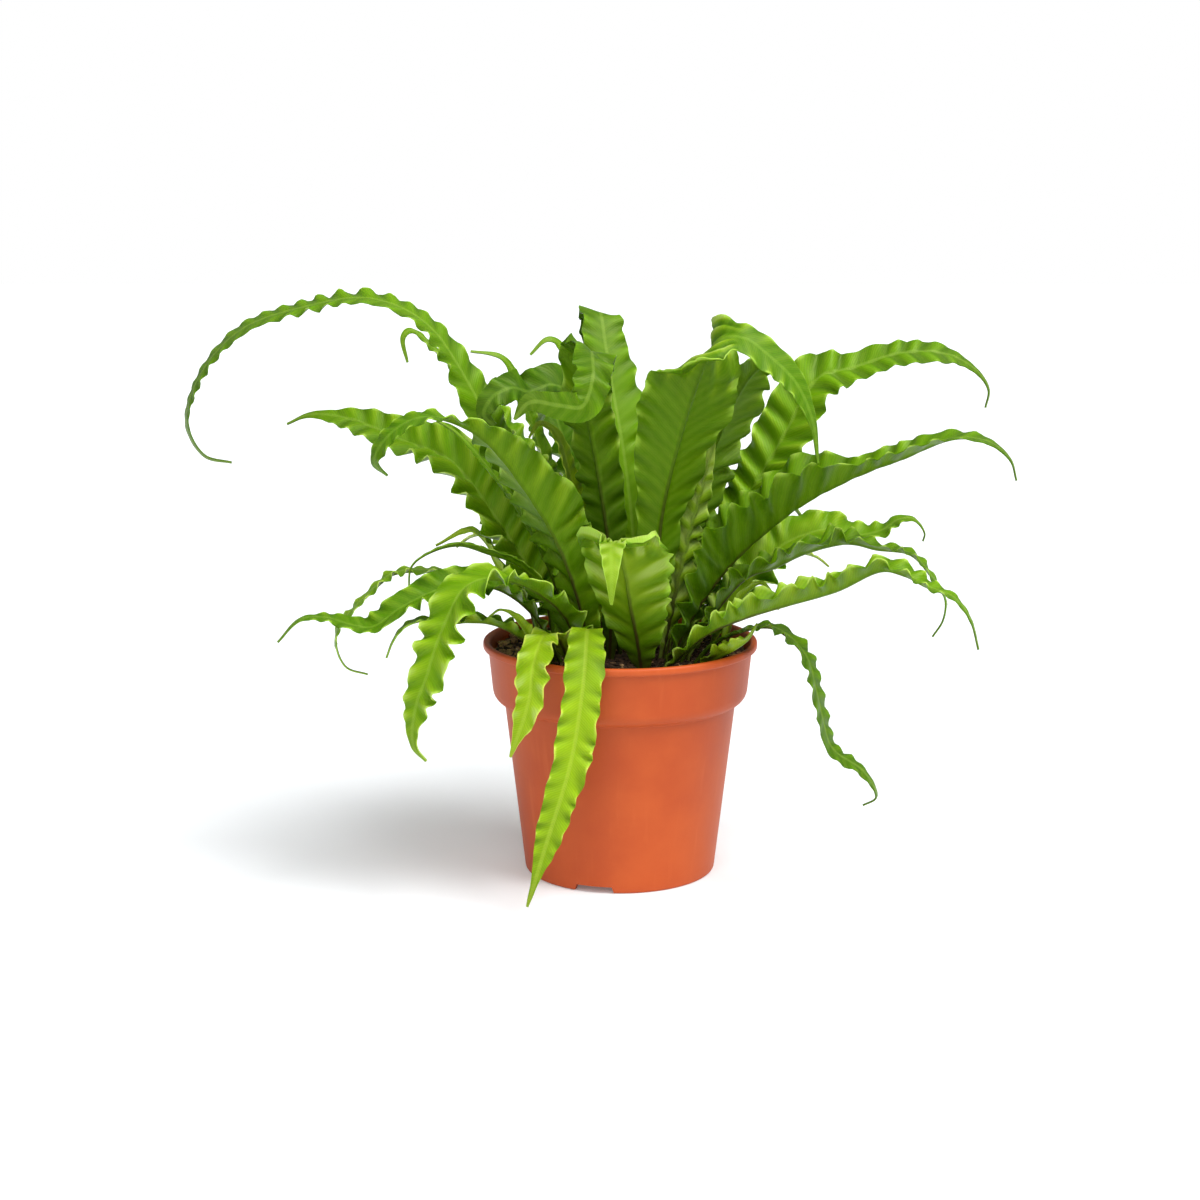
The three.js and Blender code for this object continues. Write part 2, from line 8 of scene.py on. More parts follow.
import bpy
import numpy as np
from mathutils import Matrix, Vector


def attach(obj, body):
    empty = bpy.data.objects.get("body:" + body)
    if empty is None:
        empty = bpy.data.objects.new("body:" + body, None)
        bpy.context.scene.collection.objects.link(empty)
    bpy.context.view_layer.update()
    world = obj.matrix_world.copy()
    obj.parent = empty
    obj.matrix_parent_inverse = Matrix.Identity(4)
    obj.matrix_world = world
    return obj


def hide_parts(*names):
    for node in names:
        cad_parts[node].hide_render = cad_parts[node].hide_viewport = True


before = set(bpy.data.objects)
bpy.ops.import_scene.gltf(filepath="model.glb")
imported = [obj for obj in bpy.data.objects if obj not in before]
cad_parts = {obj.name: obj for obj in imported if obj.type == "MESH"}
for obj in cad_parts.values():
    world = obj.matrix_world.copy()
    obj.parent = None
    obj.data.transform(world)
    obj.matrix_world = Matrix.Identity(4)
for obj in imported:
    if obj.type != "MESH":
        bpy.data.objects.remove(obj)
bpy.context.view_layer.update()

MM = 0.001
UP = np.array([0.0, 0.0, 1.0])

# Pot
POT_HEIGHT = 146
RIM_RADIUS = 85
LIP_HEIGHT = 5
LIP_INNER_RADIUS = 81
COLLAR_TOP_RADIUS = 81.8
COLLAR_LOW_RADIUS = 79
COLLAR_LOW = 118
COLLAR_END = 108
BODY_TOP_RADIUS = 72
FOOT_RADIUS = 59.4
FOOT_RING_INNER_RADIUS = 54
CENTRE_PAD_RADIUS = 13
FLOOR_HEIGHT = 5
WALL = 2
NOTCH_COUNT = 3
NOTCH_WIDTH = 24
NOTCH_HEIGHT = 4.2
FRONT_NOTCH_BEARING = -106
DRAIN_COUNT = 6
DRAIN_RADIUS = 5
DRAIN_CIRCLE_RADIUS = 36

# Soil
SOIL_TOP = 134
SOIL_GAP = 0.3
SOIL_HEAP = 5
HEAP_RADII = (48, 72)

# Fronds
STEM_DEPTH = 8
STEM_RISE = 1.5
STEM_HALF_WIDTH = 2.2
STEM_THICKNESS = 2.8
RIB_THICKNESS = 2
BLADE_THICKNESS = 0.75
TIP_HALF_WIDTH = 0.7
TIP_THICKNESS = 0.8
WAVE_LENGTH = 13.86
WAVE_HEIGHT = 4
CHANNEL_ANGLE = 30
TAPER = 2.6
OPENING = 0.7
OPEN_END = 0.3
TAIL_START = 0.55
THIN_FROM = 0.8
THIN_TO = 0.97
THINNING = 0.55

ARCH_SHAPE = [(0.1, 0.35), (0.34, 0.78), (0.66, 1), (0.88, 0.92), (1, 0.78)]


def arch(foot, bearing, reach, height):
    """The route of a frond that rises and arches over in one direction."""
    x, y = foot
    along, aside = math.cos(math.radians(bearing)), math.sin(math.radians(bearing))
    rest = []
    for out, up in ARCH_SHAPE:
        rest.append((x + reach * out * along, y + reach * out * aside, SOIL_TOP + height * up))
    return [foot, *rest]


# One entry for a frond: the width of its blade, and the route of its rib from its foot to its tip. The
# foot is on the soil, so it states no height. A frond can also state
# outline: the blade's width as shares of the widest, at shares of its length;
# turn: the degrees by which the blade is rolled about its rib, at shares of its length;
# channel: how far the two halves are folded up, in degrees;
# wave: the height of its waves, at shares of its length or all along;
# taper: higher where the blade stays wide towards its tip;
# blunt: whether it ends without a thin tail;
# root: lower where the waves reach in to the rib;
# frill: how ruffled its margin is, at shares of its length;
# crimp: how high it is crimped across, at shares of its length;
# painted_light_and_tone (the light and shade painted on it): 0 for painted shade to 1 for painted light
# and sheen, partly also its own tone, at shares of its length or all along;
# leaf: which of the three greens it has, unless it is plain green.
FRONDS = {
    # The left side, from the top down
    "far_left_arch": dict(
        width=30,
        route=[
            (-24, 4), (-33, 4, 170), (-50, 2, 215), (-68, 1, 251), (-92, 3, 303), (-119, 6, 341),
            (-152, 10, 355), (-195, 15, 349), (-233, 20, 335), (-259, 22, 307), (-268, 20, 277),
            (-257, 16, 258), (-240, 14, 254),
        ],
        outline=[
            (0, 0.1), (0.1, 0.3), (0.22, 0.6), (0.36, 0.92), (0.46, 0.7), (0.6, 0.6), (0.75, 0.52),
            (0.87, 0.38), (0.94, 0.12), (1, 0),
        ],
        turn=[(0, 0), (0.2, -40), (0.35, -40), (0.5, -15), (0.8, -28), (1, -28)],
        channel=8,
        wave=[(0, 4), (0.35, 2.4), (0.5, 2.2), (0.8, 2.2), (1, 1)],
        blunt=True,
        painted_light_and_tone=[(0, 0.1), (0.35, 0.25), (0.5, 0.35), (0.8, 0.15), (1, 0)],
    ),
    "left_hook": dict(
        width=26,
        route=[
            (-18, 14), (-26, 18, 180), (-50, 30, 240), (-84, 44, 288), (-112, 47, 317), (-130, 44, 333),
            (-135, 38, 329), (-132, 34, 314),
        ],
        painted_light_and_tone=0.5,
    ),
    "left_long": dict(
        width=46,
        route=[
            (-36, 9), (-42, 10, 160), (-75, 18, 215), (-106, 30, 253), (-138, 40, 265), (-170, 48, 277),
            (-196, 54, 279), (-211, 56, 273),
        ],
        turn=[(0, 0), (0.2, -30), (0.6, -40), (1, -30)],
        channel=36,
        wave=[(0, 5), (0.5, 4.5), (0.7, 2.4), (1, 1)],
        root=0.45,
        painted_light_and_tone=[(0, 0.6), (0.5, 0.6), (1, 0.3)],
    ),
    "left_inner": dict(
        width=12,
        route=[
            (-28, -11), (-37, -11, 177), (-59, -16, 226), (-80, -22, 256), (-98, -24, 277),
            (-110, -26, 285),
        ],
        turn=[(0, -10), (1, -30)],
    ),
    "left_front_curl": dict(
        width=46,
        route=[
            (-18, -10), (-22, -24, 163), (-36, -38, 209), (-60, -48, 252), (-83, -55, 280),
            (-106, -62, 291), (-122, -68, 290), (-137, -72, 279), (-143, -72, 266), (-136, -70, 258),
        ],
        outline=[
            (0, 0.1), (0.15, 0.5), (0.3, 0.85), (0.42, 1), (0.55, 0.75), (0.68, 0.42), (0.78, 0.3),
            (0.93, 0.2), (1, 0),
        ],
        turn=[(0, 10), (0.4, 30), (0.62, 25), (0.8, -30), (1, -40)],
        blunt=True,
        frill=[(0, 0.5), (0.3, 1.5), (0.7, 1.8), (1, 1)],
        painted_light_and_tone=[(0, 0.5), (0.6, 0.6), (1, 0.4)],
        leaf="deep_green",
    ),
    "left_wavy": dict(
        width=13,
        route=[
            (-48, -2), (-62, -12, 182), (-92, -17, 190), (-116, -20, 193), (-138, -24, 192),
            (-152, -28, 181), (-162, -30, 171), (-171, -32, 160), (-173, -32, 149), (-167, -32, 135),
            (-154, -30, 130),
        ],
        channel=8,
        wave=2.5,
        taper=6,
    ),
    "left_thin": dict(
        width=10,
        route=[
            (-40, -10), (-46, -22, 180), (-61, -26, 198), (-80, -29, 206), (-97, -31, 211),
            (-114, -33, 207), (-126, -34, 198), (-128, -34, 183),
        ],
        wave=2,
    ),
    "left_dark": dict(
        width=26,
        route=[
            (-37, -16), (-52, -24, 166), (-71, -36, 184), (-90, -49, 190), (-110, -56, 187),
            (-130, -62, 178), (-148, -66, 167), (-175, -70, 174), (-189, -72, 173), (-202, -74, 160),
        ],
        turn=[(0, 0), (0.5, -25), (1, 0)],
        wave=3,
        leaf="deep_green",
    ),
    "left_young": dict(
        width=14,
        route=[
            (-44, 12), (-58, 13, 168), (-69, 14, 180), (-77, 14, 192), (-82, 12, 204), (-93, 8, 213),
            (-114, 4, 204),
        ],
        wave=2,
        leaf="lime",
    ),
    "left_front_broad": dict(
        width=33,
        route=[
            (-22, -28), (-33, -46, 170), (-49, -61, 188), (-65, -71, 197), (-80, -79, 199),
            (-92, -88, 194), (-100, -95, 180), (-107, -100, 163), (-112, -104, 147), (-119, -107, 127),
            (-120, -108, 106), (-113, -108, 97),
        ],
        outline=[
            (0, 0.25), (0.1, 0.75), (0.25, 0.92), (0.42, 1), (0.6, 0.85), (0.75, 0.7), (0.88, 0.5),
            (1, 0),
        ],
        turn=[(0, 0), (0.4, 0), (0.7, -20)],
        channel=14,
        wave=4,
        frill=[(0, 1.4), (0.3, 1.4), (0.5, 1.2), (1, 1)],
        painted_light_and_tone=[(0, 0.3), (0.45, 0.6), (1, 0.7)],
    ),
    "left_low": dict(
        width=15,
        route=[
            (-42, -28), (-56, -37, 152), (-68, -43, 162), (-79, -48, 167), (-91, -54, 169),
            (-105, -59, 169), (-119, -63, 171), (-129, -66, 167), (-135, -67, 159), (-139, -67, 149),
        ],
        leaf="deep_green",
    ),
    "left_lime": dict(
        width=11,
        route=[
            (-46, -42), (-52, -49, 153), (-59, -54, 167), (-66, -58, 175), (-72, -61, 177),
            (-78, -62, 173),
        ],
        wave=2,
        leaf="lime",
    ),
    "front_lime": dict(
        width=19,
        route=[
            (-30, -32), (-37, -51, 157), (-45, -64, 162), (-51, -82, 150), (-54, -92, 128),
            (-65, -92, 95),
        ],
        channel=12,
        wave=2.5,
        taper=5,
        painted_light_and_tone=0.75,
        leaf="lime",
    ),
    "front_hanging": dict(
        width=20,
        route=[
            (-17, -40), (-19, -54, 160), (-20, -69, 166), (-22, -96, 142), (-29, -104, 97),
            (-45, -108, 43), (-55, -112, 10),
        ],
        channel=10,
        wave=1.8,
        taper=5,
        root=1.5,
        frill=1.6,
        painted_light_and_tone=[(0, 0.2), (0.6, 0.42), (1, 0.15)],
        leaf="lime",
    ),
    # The middle
    "front": dict(
        width=50,
        route=[
            (13, -32), (10, -43, 156), (6, -52, 177), (2, -62, 202), (-4, -76, 220), (-6, -98, 217),
            (-6, -108, 205), (-6, -112, 190),
        ],
        outline=[
            (0, 0.15), (0.2, 0.65), (0.45, 1), (0.62, 1), (0.645, 0.8), (0.67, 0.3), (0.8, 0.2),
            (0.9, 0.1), (1, 0),
        ],
        channel=14,
        wave=2.5,
        blunt=True,
        frill=[(0, 0.3), (0.5, 0.6), (0.58, 3), (0.68, 3), (0.75, 0.6), (1, 0.4)],
        crimp=[(0, 0), (0.52, 0), (0.6, 3.4), (0.67, 3), (0.7, 0), (1, 0)],
        painted_light_and_tone=[(0, 0.1), (0.2, 0.55), (0.45, 0.85), (0.58, 0.75), (0.66, 0.85), (1, 0.8)],
        leaf="deep_green",
    ),
    "middle_curl": dict(
        width=32,
        route=[
            (-6, -4), (-5, -8, 172), (-7, -8, 206), (-11, -6, 235), (-16, -4, 265), (-21, -4, 292),
            (-21, -16, 319), (-18, -32, 327), (-17, -46, 324), (-17, -58, 313), (-23, -66, 298),
            (-36, -70, 299), (-53, -72, 301), (-62, -72, 291),
        ],
        outline=[
            (0, 0.1), (0.15, 0.55), (0.3, 0.75), (0.5, 0.9), (0.62, 1), (0.72, 0.75), (0.85, 0.5),
            (0.95, 0.3), (1, 0),
        ],
        channel=14,
        wave=3,
        blunt=True,
        painted_light_and_tone=[(0, 0.1), (0.35, 0.2), (0.48, 0.5), (0.6, 0.55), (0.66, 0), (1, 0)],
    ),
    "middle_knot": dict(
        width=24,
        route=[
            (0, 8), (-6, 10, 194), (-17, 13, 262), (-30, 12, 296), (-42, 6, 303), (-55, -4, 300),
            (-67, -14, 303), (-78, -20, 297), (-82, -21, 288), (-76, -20, 281),
        ],
        outline=[(0, 0.1), (0.35, 0.3), (0.48, 0.6), (0.58, 1), (0.82, 1), (1, 0.1)],
        turn=[(0, 0), (0.45, 0), (0.6, -40), (1, -40)],
        wave=3,
        blunt=True,
        frill=2,
        painted_light_and_tone=[(0, 0), (0.8, 0.02), (1, 0.15)],
        leaf="deep_green",
    ),
    "middle_lime": dict(
        width=18,
        route=[(-14, 3), (-18, 10, 184), (-30, 22, 240), (-40, 22, 272), (-50, 18, 278), (-56, 12, 270)],
        wave=2.5,
        leaf="lime",
    ),
    "middle_back_hair": dict(
        width=18,
        route=[
            (-12, 27), (-22, 36, 173), (-46, 56, 241), (-60, 64, 285), (-67, 64, 304), (-75, 60, 315),
            (-94, 56, 319),
        ],
    ),
    "middle_back_hook": dict(
        width=22,
        route=[
            (-2, 24), (-9, 32, 191), (-22, 44, 262), (-32, 52, 308), (-39, 50, 325), (-46, 46, 327),
            (-56, 42, 318),
        ],
    ),
    "tallest": dict(
        width=36,
        route=[
            (12, 12), (9, 16, 193), (6, 22, 229), (1, 32, 266), (-4, 44, 293), (-9, 58, 322),
            (-12, 72, 341), (-13, 88, 338), (-14, 104, 318),
        ],
        outline=[(0, 0.12), (0.2, 0.5), (0.42, 0.95), (0.55, 1), (0.75, 0.72), (0.97, 0.6), (1, 0.4)],
        channel=14,
        wave=[(0, 3), (0.6, 3), (0.75, 1.8), (1, 1.5)],
        blunt=True,
        root=1.6,
        crimp=[(0, 0), (0.9, 0), (1, 2.5)],
        painted_light_and_tone=[(0, 0.2), (0.45, 0.55), (0.7, 0.25), (1, 0)],
    ),
    "broad": dict(
        width=54,
        route=[
            (14, -15), (21, -25, 175), (24, -32, 226), (34, -42, 275), (45, -52, 314), (50, -60, 328),
            (59, -64, 337), (71, -66, 337), (85, -66, 327), (101, -64, 311), (111, -62, 289),
            (115, -60, 264),
        ],
        outline=[
            (0, 0.08), (0.13, 0.28), (0.29, 0.5), (0.4, 0.75), (0.5, 1), (0.6, 1), (0.655, 0.95),
            (0.7, 0.4), (0.85, 0.3), (1, 0),
        ],
        turn=[(0, -10), (0.3, -20), (0.58, -20), (0.68, 60), (1, 70)],
        channel=10,
        wave=1.8,
        root=1.9,
        frill=[(0, 0.5), (0.45, 1), (0.55, 3), (0.66, 3), (0.72, 0.5), (1, 0.5)],
        crimp=[(0, 0), (0.52, 0), (0.62, 2), (0.67, 2), (0.71, 0), (1, 0)],
        painted_light_and_tone=[(0, 0.35), (0.5, 0.42), (0.65, 0.6), (1, 0.5)],
        leaf="deep_green",
    ),
    # The right side, from the top down
    "right_dark": dict(
        width=46,
        route=[
            (28, 0), (33, 2, 166), (45, 0, 223), (57, -4, 266), (71, -10, 300), (84, -17, 316),
            (98, -20, 312), (107, -21, 296),
        ],
        outline=[(0, 0.1), (0.25, 0.5), (0.5, 0.95), (0.72, 0.9), (0.85, 0.4), (1, 0)],
        turn=[(0, -10), (0.3, -40), (1, -50)],
        channel=14,
        wave=3,
        painted_light_and_tone=[(0, 0.2), (0.5, 0.45), (1, 0.5)],
        leaf="deep_green",
    ),
    "right_inner": dict(
        width=24,
        route=[(25, -9), (31, -13, 166), (39, -18, 205), (48, -21, 240), (53, -25, 262), (56, -28, 273)],
        turn=[(0, 0), (0.3, -50), (1, -50)],
        blunt=True,
        root=0.5,
        painted_light_and_tone=0.95,
    ),
    "right_middle": dict(
        width=32,
        route=[(30, 17), (38, 24, 180), (50, 31, 222), (62, 38, 255), (71, 42, 274)],
        blunt=True,
        painted_light_and_tone=0.6,
    ),
    "right_upper": dict(
        width=40,
        route=[
            (38, 13), (47, 18, 161), (59, 23, 192), (72, 26, 217), (90, 32, 247), (106, 38, 274),
            (116, 42, 294), (127, 45, 305), (146, 50, 309), (177, 54, 318), (206, 58, 317),
            (226, 60, 306), (234, 60, 294), (232, 58, 283),
        ],
        outline=[
            (0, 0.12), (0.15, 0.55), (0.35, 0.9), (0.5, 0.9), (0.6, 0.75), (0.68, 0.5), (0.85, 0.42),
            (1, 0),
        ],
        turn=[(0, 0), (0.3, 25), (0.6, 40), (1, 20)],
        channel=12,
        wave=[(0, 5), (0.45, 5), (0.55, 2.6), (1, 1)],
        root=0.5,
        painted_light_and_tone=[(0, 0.55), (0.45, 0.5), (0.6, 0.3), (1, 0.1)],
    ),
    "right_long": dict(
        width=58,
        route=[
            (28, -24), (48, -28, 174), (68, -33, 202), (108, -42, 238), (146, -50, 259),
            (163, -55, 266), (194, -62, 279), (214, -66, 277), (226, -68, 267), (230, -68, 255),
        ],
        outline=[
            (0, 0.12), (0.12, 0.6), (0.28, 1), (0.52, 0.95), (0.62, 0.3), (0.75, 0.4), (0.88, 0.3),
            (1, 0),
        ],
        turn=[(0, 0), (0.3, 8), (1, 8)],
        channel=54,
        wave=[(0, 4.5), (0.5, 4.5), (0.62, 3), (1, 1)],
        root=0.6,
        painted_light_and_tone=[(0, 0.1), (0.5, 0.35), (0.8, 0.3), (1, 0.1)],
    ),
    "right_behind": dict(
        width=20,
        route=[(48, 18), (56, 22, 154), (75, 28, 182), (94, 30, 201), (108, 34, 213), (118, 36, 217)],
        leaf="deep_green",
    ),
    "right_pale": dict(
        width=34,
        route=[
            (42, -4), (50, -1, 148), (75, 4, 174), (100, 12, 202), (131, 16, 212), (147, 18, 208),
            (163, 18, 211), (174, 18, 218), (183, 18, 218), (190, 18, 209), (189, 18, 204),
        ],
        turn=[(0, 0), (0.4, 42), (1, 10)],
        painted_light_and_tone=[(0, 0.8), (0.5, 0.75), (1, 0.3)],
    ),
    "right_curly": dict(
        width=28,
        route=[
            (38, -14), (46, -16, 150), (75, -28, 190), (92, -34, 198), (110, -40, 208), (135, -46, 215),
            (152, -50, 212), (172, -54, 209), (186, -58, 193), (192, -60, 183), (191, -60, 170),
            (185, -60, 160),
        ],
        outline=[(0, 0.12), (0.15, 0.55), (0.3, 0.95), (0.55, 0.9), (0.65, 0.5), (0.85, 0.35), (1, 0)],
    ),
    "right_low": dict(
        width=30,
        route=[
            (26, -40), (51, -53, 161), (73, -62, 173), (96, -74, 183), (124, -86, 194), (149, -98, 208),
            (162, -104, 206), (174, -108, 200), (189, -112, 194), (198, -115, 182), (203, -116, 165),
        ],
        outline=[(0, 0.2), (0.1, 0.7), (0.25, 1), (0.5, 0.9), (0.75, 0.55), (1, 0)],
        channel=42,
        painted_light_and_tone=[(0, 0.6), (0.6, 0.6), (1, 0.2)],
    ),
    "right_hanging": dict(
        width=15,
        route=[
            (46, -22), (56, -26, 148), (72, -32, 158), (92, -40, 162), (110, -50, 148), (117, -55, 126),
            (121, -56, 109), (127, -58, 91), (146, -60, 77), (154, -60, 61), (146, -60, 56),
        ],
        channel=10,
        wave=2.2,
        taper=6,
        painted_light_and_tone=[(0, 0.2), (1, 0.05)],
    ),
    "right_small": dict(
        width=10,
        route=[
            (62, -12), (67, -17, 160), (72, -19, 174), (78, -21, 182), (85, -23, 186), (91, -26, 181),
            (96, -28, 170),
        ],
        wave=2,
        leaf="lime",
    ),
    "right_young": dict(
        width=24,
        route=[(50, -36), (57, -42, 143), (66, -48, 150), (76, -52, 158), (81, -54, 167)],
        wave=3,
        painted_light_and_tone=0.4,
        leaf="lime",
    ),
    # The back, which hangs over the rim away from the front
    "back_left": dict(width=28, route=arch((-32, 30), 137, 80, 90)),
    "back_left_tall": dict(width=26, route=arch((-18, 50), 110, 120, 140), leaf="deep_green"),
    "back_middle_tall": dict(width=28, route=arch((2, 45), 94, 125, 150)),
    "back_middle": dict(width=32, route=arch((-2, 62), 95, 160, 100)),
    "back_right_tall": dict(width=28, route=arch((18, 34), 76, 120, 150), leaf="deep_green"),
    "back_right": dict(width=30, route=arch((27, 51), 71, 155, 104)),
    "back_right_low": dict(width=25, route=arch((43, 40), 41, 107, 86)),
    "back_low_left": dict(width=24, route=arch((-32, 44), 132, 115, 60), leaf="lime"),
    "back_low_right": dict(width=24, route=arch((58, 26), 34, 95, 55), leaf="lime"),
}

# The stations of a frond, and its columns as shares of the way out from the rib
STATION_SPACING = 1.5
ACROSS = [0, 0.05, 0.11, 0.19, 0.28, 0.38, 0.49, 0.6, 0.71, 0.81, 0.9, 1]

# How the surface of a blade departs from a plain channel. The broader the blade is, the longer its waves
# are stretched.
FULLNESS = 1.08
SLANT = 0.5
DROOP = 0.05
CHANNEL_ROUNDING = 0.6
SLOW_LOBES = 0.06
QUICK_LOBES = 0.07
QUICK_LOBE_RATES = (30, 130)
WAVE_ROOT = 1.15
WAVE_DRIFT_RATES = (5, 50)
WAVE_WANDER = 1.5
WAVE_SWELL = 0.65
LEAST_SWELL = 0.25
STRETCH_START = 0.5
STRETCH_HALF_WIDTH = 24
LEAST_STRETCH = 0.6
MOST_STRETCH = 1.15
FULL_WAVE_HALF_WIDTH = 14
FRILL_HEIGHT = 0.17
FRILL_RATE = 2.7
FRILL_WANDER = 2
CRIMP_RATE = 15
# How much paler the wave crests are painted: a painted highlight
PAINTED_CREST_HIGHLIGHT = 0.36

# How thick it is
RIB_HALF_WIDTH = 1.1
GROOVE_DEPTH = 0.25
OPENED_FROM = 0.03
OPENED_TO = 0.2
MARGIN_THINNING = 0.35
KEEL_FADE = 0.75
STEM_ROUNDNESS = 0.93


def smoothstep(value, low, high):
    share = np.clip((np.asarray(value, float) - low) / (high - low), 0, 1)
    return share * share * (3 - 2 * share)


def unit(vectors):
    return vectors / np.linalg.norm(vectors, axis=-1, keepdims=True)


def smooth_route(points, steps=30):
    """A smooth curve through the points that doesn't overshoot them, as closely spaced points."""
    first, last = 2 * points[0] - points[1], 2 * points[-1] - points[-2]
    padded = np.vstack([first, points, last])
    stretch = []
    for before, start, end, after in zip(padded, padded[1:], padded[2:], padded[3:]):
        spans = ((before, start), (start, end), (end, after))
        d0, d1, d2 = (np.linalg.norm(b - a) ** 0.5 for a, b in spans)
        leave = ((start - before) / d0 - (end - before) / (d0 + d1) + (end - start) / d1) * d1
        arrive = ((end - start) / d1 - (after - start) / (d1 + d2) + (after - end) / d2) * d1
        t = np.linspace(0, 1, steps, endpoint=False)[:, None]
        bend = 2 * start - 2 * end + leave + arrive
        swell = -3 * start + 3 * end - 2 * leave - arrive
        stretch.append(start + leave * t + swell * t**2 + bend * t**3)
    return np.vstack([*stretch, points[-1:]])


def spaced(points, spacing):
    """Points evenly spaced along a line of points, and the distance of each from its start."""
    steps = np.linalg.norm(np.diff(points, axis=0), axis=1)
    travelled = np.concatenate([[0], np.cumsum(steps)])
    distances = np.linspace(0, travelled[-1], max(8, round(travelled[-1] / spacing)) + 1)
    return np.column_stack([np.interp(distances, travelled, axis) for axis in points.T]), distances


def turned_about(vector, axis, angle):
    return (vector * math.cos(angle) + np.cross(axis, vector) * math.sin(angle)
            + axis * (axis @ vector) * (1 - math.cos(angle)))


def carried_sides(tangents, across, turns):
    """The direction across the blade at each station, carried along the rib and then rolled about it."""
    carried, sides = across, []
    for tangent, turn in zip(tangents, turns):
        carried = unit(carried - tangent * (carried @ tangent))
        sides.append(turned_about(carried, tangent, turn))
    return np.array(sides)


def drift(draws, distances, length, count=4, rates=(4, 26)):
    """A smooth wandering value between about -1 and 1 along a frond."""
    total = 0
    for _ in range(count):
        height, rate, phase = draws.uniform(0.5, 1), draws.uniform(*rates), draws.uniform(0, 6.3)
        total = total + height * np.sin(distances / length * rate + phase)
    return total / math.sqrt(count)


def along_frond(value, share):
    """A value that a frond states once, or at shares of its length."""
    if isinstance(value, list):
        return np.interp(share, *np.array(value, float).T)
    return np.full(len(share), float(value))


def frond_form(frond):
    """The rib's stations and, at each, the directions, width, fold and wave of the blade."""
    foot, *rest = frond["route"]
    points = np.array([(*foot, SOIL_TOP + STEM_RISE), *rest], float)
    middle = points[math.ceil(len(points) / 2)]
    heading = unit((middle - points[0]) * (1, 1, 0))
    across = np.array([-heading[1], heading[0], 0])
    ribs, distances = spaced(smooth_route(points), STATION_SPACING)
    share = distances / distances[-1]
    tangents = unit(np.gradient(ribs, axis=0))
    sides = carried_sides(tangents, across, np.radians(along_frond(frond.get("turn", 0), share)))

    spread = smoothstep(share, 0, OPEN_END) ** OPENING * (1 - share ** frond.get("taper", TAPER))
    if "outline" in frond:
        spread = along_frond(frond["outline"], share)
    if not frond.get("blunt"):
        spread = spread * (1 - THINNING * smoothstep(share, THIN_FROM, THIN_TO))
    least = np.where(share < TAIL_START, STEM_HALF_WIDTH, TIP_HALF_WIDTH)
    half_width = np.maximum(TIP_HALF_WIDTH + frond["width"] / 2 * spread * FULLNESS, least)
    tail = smoothstep(share, TAIL_START, 1)
    channel = math.radians(frond.get("channel", CHANNEL_ANGLE))

    stretch = STRETCH_START + half_width / STRETCH_HALF_WIDTH
    half_wave = WAVE_LENGTH / 2 * np.clip(stretch, LEAST_STRETCH, MOST_STRETCH)
    wave = along_frond(frond.get("wave", WAVE_HEIGHT), share) * np.sqrt(spread)
    wave *= smoothstep(half_width, 0, FULL_WAVE_HALF_WIDTH)
    return dict(
        ribs=ribs,
        distances=distances,
        share=share,
        sides=sides,
        faces=np.cross(tangents, sides),
        half_width=half_width,
        tail=tail,
        fold=channel * np.minimum(1, share / OPEN_END) * (1 - tail),
        wave=wave,
        wave_phase=np.cumsum(np.gradient(distances) / half_wave) * math.pi,
        root=frond.get("root", WAVE_ROOT),
        frill=along_frond(frond.get("frill", 1), share) * FRILL_HEIGHT,
        crimp=along_frond(frond.get("crimp", 0), share),
    )


def half_blade(form, hand, draws):
    """The middle surface of one half of a blade, out from its rib, and how high its waves stand."""
    distances, length = form["distances"], form["distances"][-1]
    wander = drift(draws, distances, length, 5, WAVE_DRIFT_RATES)
    swell = drift(draws, distances, length, 5, WAVE_DRIFT_RATES)
    frill_wander = drift(draws, distances, length, 5, WAVE_DRIFT_RATES)
    lobes = SLOW_LOBES * drift(draws, distances, length, 6)
    lobes = lobes + QUICK_LOBES * drift(draws, distances, length, 6, QUICK_LOBE_RATES)
    height = form["wave"] * np.maximum(LEAST_SWELL, 1 + WAVE_SWELL * swell)
    inwards, upwards = np.sin(form["fold"]), np.cos(form["fold"])
    columns, crests = [], []
    for q in ACROSS:
        reach = q * form["half_width"] * (1 + lobes * q**3)
        slanted = distances + SLANT * (1 - q) * form["half_width"]
        phase = np.interp(slanted, distances, form["wave_phase"]) + WAVE_WANDER * wander
        lift = -hand * height * np.cos(phase) * q ** form["root"]
        lift += form["frill"] * height * np.sin(FRILL_RATE * phase + FRILL_WANDER * frill_wander) * q**5
        lift += form["crimp"] * math.sin(CRIMP_RATE * q + hand) * min(1, 3 * q)
        crests.append(lift / np.maximum(height, 1))
        lift -= DROOP * reach * q
        dip = np.sqrt((reach * inwards) ** 2 + CHANNEL_ROUNDING**2) - CHANNEL_ROUNDING
        lean = form["faces"] * upwards[:, None] - form["sides"] * (hand * inwards * q)[:, None]
        columns.append(form["ribs"]
                       + form["sides"] * (hand * reach * upwards)[:, None]
                       + form["faces"] * dip[:, None]
                       + lean * lift[:, None])
    return np.stack(columns, axis=1), np.stack(crests, axis=1)


def frond_surface(form, draws):
    """The middle surface of a blade from margin to margin, its crests, and each column's place."""
    left, left_crests = half_blade(form, 1, draws)
    right, right_crests = half_blade(form, -1, draws)
    grid = np.concatenate([left[:, :0:-1], right], axis=1)
    crests = np.concatenate([left_crests[:, :0:-1], right_crests], axis=1)
    across = np.array([-q for q in ACROSS[:0:-1]] + ACROSS)
    return grid, crests, across


